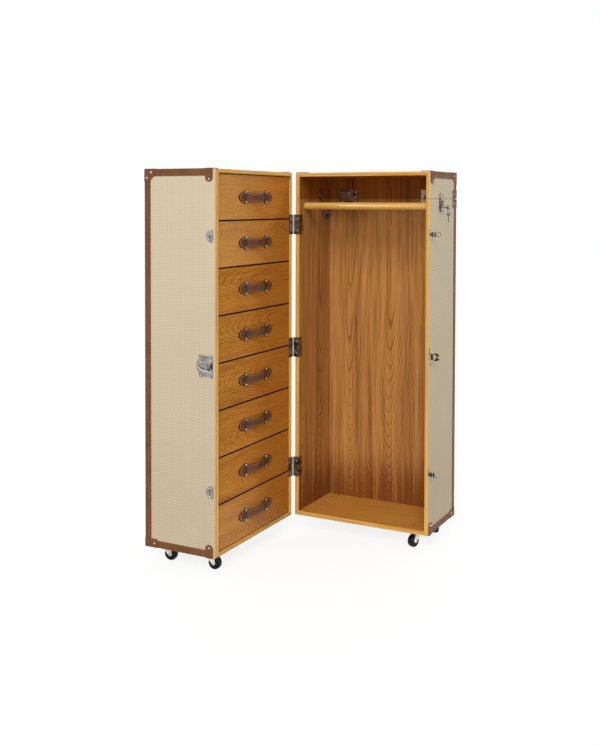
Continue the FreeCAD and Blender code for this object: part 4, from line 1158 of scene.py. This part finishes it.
def through(start, via, end, count):
    """Points (1 - t)^2 start + 2 t (1 - t) c + t^2 end, with c so that t = 1/2 lies at via."""
    t = np.linspace(0, 1, count)[:, None]
    start, via, end = (np.array(point, float) for point in (start, via, end))
    bend = 2 * via - (start + end) / 2
    return (1 - t) ** 2 * start + 2 * t * (1 - t) * bend + t * t * end


def face_wire(shell, path, stand, radius, closed=False):
    """Round wire half sunk in the drawer half's outer end along a path of depths and
    heights: point + radius (cos a out + sin a beside) at each of eight angles a."""
    path = np.asarray(path, float)
    if closed:
        run = np.roll(path, -1, 0) - np.roll(path, 1, 0)
    else:
        run = np.gradient(path, axis=0)
    run /= np.linalg.norm(run, axis=1, keepdims=True)
    a = circle(8)
    depth = path[:, :1] - radius * np.sin(a) * run[:, 1:]
    height = path[:, 1:] + radius * np.sin(a) * run[:, :1]
    shell.sweep(drawers.place(case_width + stand + radius * np.cos(a), depth, height), closed)


def almond(front, back, half):
    """Pointed oval that is open at the front, as depths and heights about its middle."""
    nose = (back - front) * 0.12
    bow = front + (back - front) * 0.55
    flank = through((front, -half), (bow, -half * 0.86), (back - nose, -half * 0.3), 14)
    tip = through((back - nose, -half * 0.3), (back, 0), (back - nose, half * 0.3), 7)
    return np.concatenate((flank, tip[1:-1], flank[::-1] * (1, -1)))


receiver_front, receiver_back, receiver_half = 10.0, 75.0, 21.25
receiver_crest, receiver_wall = 5.5, 5.0
crest_wire, strike_wire = 2.2, 1.1
strike_middle, strike_oval = 22.0, (9.5, 15.5)
mouth_middle = 15.0
receiver = drawers.at(0, 0, hasp_height)
# The embossed ridges are drawn as wires, and their brighter metal is a painted highlight
rims = Shell()
half_wall = receiver_wall / 2
crest = almond(receiver_front, receiver_back - half_wall, receiver_half - half_wall)
face_wire(rims, crest + (0, hasp_height), receiver_crest - 0.6, crest_wire)
for height in latch_heights:
    oval = about_z(1.0, circle(28), 0)[:, :2] * strike_oval + (strike_middle, height)
    face_wire(rims, oval, plate_face - case_width, strike_wire, True)
rims.piece("strike_rims", bright_metal, "drawer_case")

flange_edge = through((52.0, -27.5), (71.0, -21.0), (81.5, 0.0), 10)
flange_edge = np.concatenate((flange_edge, flange_edge[-2::-1] * (1, -1)))
plate("receiver_flange", dull_nickel, "drawer_case", receiver, case_width, flange_edge,
      (-0.2, 1.2, 1.5))
# Painted shade: a darker plate on the well's floor and a black plate in the hasp's slot
well_edge = almond(
    receiver_front + 10.5, receiver_back - receiver_wall, receiver_half - receiver_wall)
plate("receiver_well_shade", aged_nickel, "drawer_case", receiver, receiver_face,
      well_edge, (-0.2, 0.3))
plate("receiver_mouth_shade", black_lacquer, "drawer_case", drawers.at(0, mouth_middle, hasp_height),
      case_width, oblong(8.8, 17.8, 0.5), (-0.2, 0.8))


# Collar round the key, and the stay's cap and thumb knob

key_drop = 34.0
collar = turned(((2.4, -0.3), (5.6, -0.3), (5.6, 0.6), (5.0, 1.2), (3.2, 1.2), (2.4, 0.7),
                 (2.4, -0.3)), 24)
fitted("key_collar", nickel, "wardrobe_case",
       (collar, wardrobe, [(lock_face, lock_middle, lid_seam - key_drop)], outward))


def thumb_knob(radius, height):
    """Knurled knob: r = radius (1 + 0.06 cos 14 t) over the rim, with a domed top."""
    profile = np.array((
        (0, 0), (0.92, 0), (1.0, 0.12), (1.0, 0.72), (0.9, 0.9), (0.5, 1.0), (0, 1.0)))
    t = circle(56)
    share = profile[:, :1]
    knurl = 1 + 0.06 * np.cos(14 * t) * (share > 0.95)
    rings = about_z(radius * share * knurl, t, height * profile[:, 1:])
    return rings.reshape(-1, 3), [grid_faces(len(profile), len(t), True)]


stay_pivot = 8.0
for node, body, finish, shape, way in (
        ("stay_side_bracket", "wardrobe_case", stay_metal, thumb_knob(7.2, 6.0), -1),
        ("stay_lid_bracket", "lid", black_lacquer, dome(5.4, 2.4), 1)):
    low, high, middle = spread(node)
    rise = (high if way < 0 else low)[2] + way * stay_pivot
    fitted(f"{node}_head", finish, body,
           (shape, wardrobe, [(high[0] - 0.1, middle[1], rise)], outward))


# Casters: wheels, axle caps and the bolts through the floor boards

wheel_radius = 25.0
bore = 3.1
cap_reach = 15.9
tread = np.array((
    (bore, -8.6), (5.2, -8.6), (6.2, -9.8), (9.2, -9.8), (10.4, -8.2), (17.8, -8.2), (19.6, -9.9),
    (21.6, -10.0), (23.4, -9.0), (24.5, -7.0), (24.9, -4.0), (wheel_radius, 0)))
tread = np.concatenate((tread, tread[-2::-1] * (1, -1)))
rings = about_z(tread[:, 0], circle(72)[:, None], tread[:, 1])

for entry in frame["joints"]:
    if not entry["name"].endswith("caster_roll"):
        continue
    origin = np.array(entry["pos_m"]) / MM
    axle = np.array(entry["axis"], float)
    side = np.cross((0, 0, 1), axle)
    axes = np.stack((side, np.cross(axle, side), axle))
    wheel = Shell()
    wheel.sweep(rings @ axes + origin, closed=True)
    wheel.piece(f"{entry['child']}_made", rubber, entry["child"], (entry["child"],), 30)
    caps = Shell()
    caps.strew(dome(4.4, 2.6), [origin + way * cap_reach * axle for way in (1, -1)],
               [axes * ((1,), (way,), (way,)) for way in (1, -1)])
    caps.piece(f"{entry['parent']}_axle_caps", bright_metal, entry["parent"])

bolt_reach = 12.0
for half, name, body in ((wardrobe, "wardrobe", "wardrobe_case"),
                         (drawers, "drawer_case", "drawer_case")):
    spots = []
    for spot in ("outer_front", "outer_back", "hinge_back"):
        swivel = joint_of(f"{name}_{spot}_caster_swivel")
        u, d, _ = half.measure(np.array(swivel["pos_m"]) / MM)
        spots += [(u + side * bolt_reach, d + depth * bolt_reach, wall)
                  for side in (-1, 1) for depth in (-1, 1)]
    fitted(f"{name}_caster_bolts", nickel, body,
           (dome(4.0, 2.2), half, spots, (0, 0, 1), (0, 1, 0)))


# Floor, light and camera

def seen_rays(finish):
    """1 for what the camera and mirrors see."""
    rays = finish.node("ShaderNodeLightPath")
    camera_ray, mirror_ray, glass_ray = finish.outputs(
        rays, "Is Camera Ray", "Is Glossy Ray", "Is Transmission Ray")
    return camera_ray.most(mirror_ray).most(glass_ray)


def lit_floor():
    """White floor that keeps the trunk's shadow."""
    finish = Finish(bpy.data.materials.new("floor"))
    matt = finish.node("ShaderNodeBsdfDiffuse", {}, {"Color": (0.6, 0.6, 0.6, 1)})
    white = finish.node("ShaderNodeEmission", {}, {"Color": (1, 1, 1, 1), "Strength": 1.2})
    finish.ends_in(finish.node(
        "ShaderNodeMixShader", {}, {0: seen_rays(finish) * 0.7, 1: matt, 2: white}))
    return finish.owner


floor_reach = 30.0
floor_mesh = bpy.data.meshes.new("floor")
floor_mesh.from_pydata(
    [(-floor_reach, -floor_reach, 0), (floor_reach, -floor_reach, 0),
     (floor_reach, floor_reach, 0), (-floor_reach, floor_reach, 0)], [], [(0, 1, 2, 3)])
floor_mesh.materials.append(lit_floor())
floor = bpy.data.objects.new("floor", floor_mesh)
scene.collection.objects.link(floor)

scene.world = bpy.data.worlds.new("studio")
studio = Finish(scene.world)
soft = studio.node("ShaderNodeBackground", {}, {"Color": (1, 1, 1, 1), "Strength": 0.49})
bright = studio.node("ShaderNodeBackground", {}, {"Color": (1, 1, 1, 1), "Strength": 1.0})
studio.ends_in(
    studio.node("ShaderNodeMixShader", {}, {0: seen_rays(studio), 1: soft, 2: bright}),
    "ShaderNodeOutputWorld")


def lamp(name, toward, strength, angle):
    """Distant soft lamp that shines from a direction."""
    light = bpy.data.lights.new(name, "SUN")
    light.energy = strength
    light.angle = math.radians(angle)
    holder = bpy.data.objects.new(name, light)
    scene.collection.objects.link(holder)
    holder.rotation_euler = Vector(toward).to_track_quat("Z", "Y").to_euler()


lamp("key", (0.27, -0.785, 0.565), 1.86, 26)
lamp("glint", (-0.42, -0.85, 0.30), 0.34, 7)
lamp("fill", (0.80, 0.36, 0.48), 0.46, 10)
lamp("rear", (-0.35, 0.80, 0.35), 0.9, 50)

sensor = 36.0
frame_long = 745
focal_pixels = 992.37
camera_shift = -0.185
camera_place = (1.74314, -3.42584, 1.34442)
yaw, pitch, roll = 0.48369, 0.03204, 0.00242
forward = Vector(
    (-math.sin(yaw) * math.cos(pitch), math.cos(yaw) * math.cos(pitch), -math.sin(pitch)))
level = Vector((math.cos(yaw), math.sin(yaw), 0))
right = level * math.cos(roll) + level.cross(forward) * math.sin(roll)
up = right.cross(forward)
camera_data = bpy.data.cameras.new("camera")
camera_data.sensor_width = sensor
camera_data.lens = focal_pixels * sensor / frame_long
camera_data.shift_y = camera_shift
camera = bpy.data.objects.new("camera", camera_data)
scene.collection.objects.link(camera)
camera.matrix_world = Matrix.Translation(camera_place) @ Matrix(
    (right, up, -forward)).transposed().to_4x4()
scene.camera = camera
scene.view_settings.view_transform = "Standard"
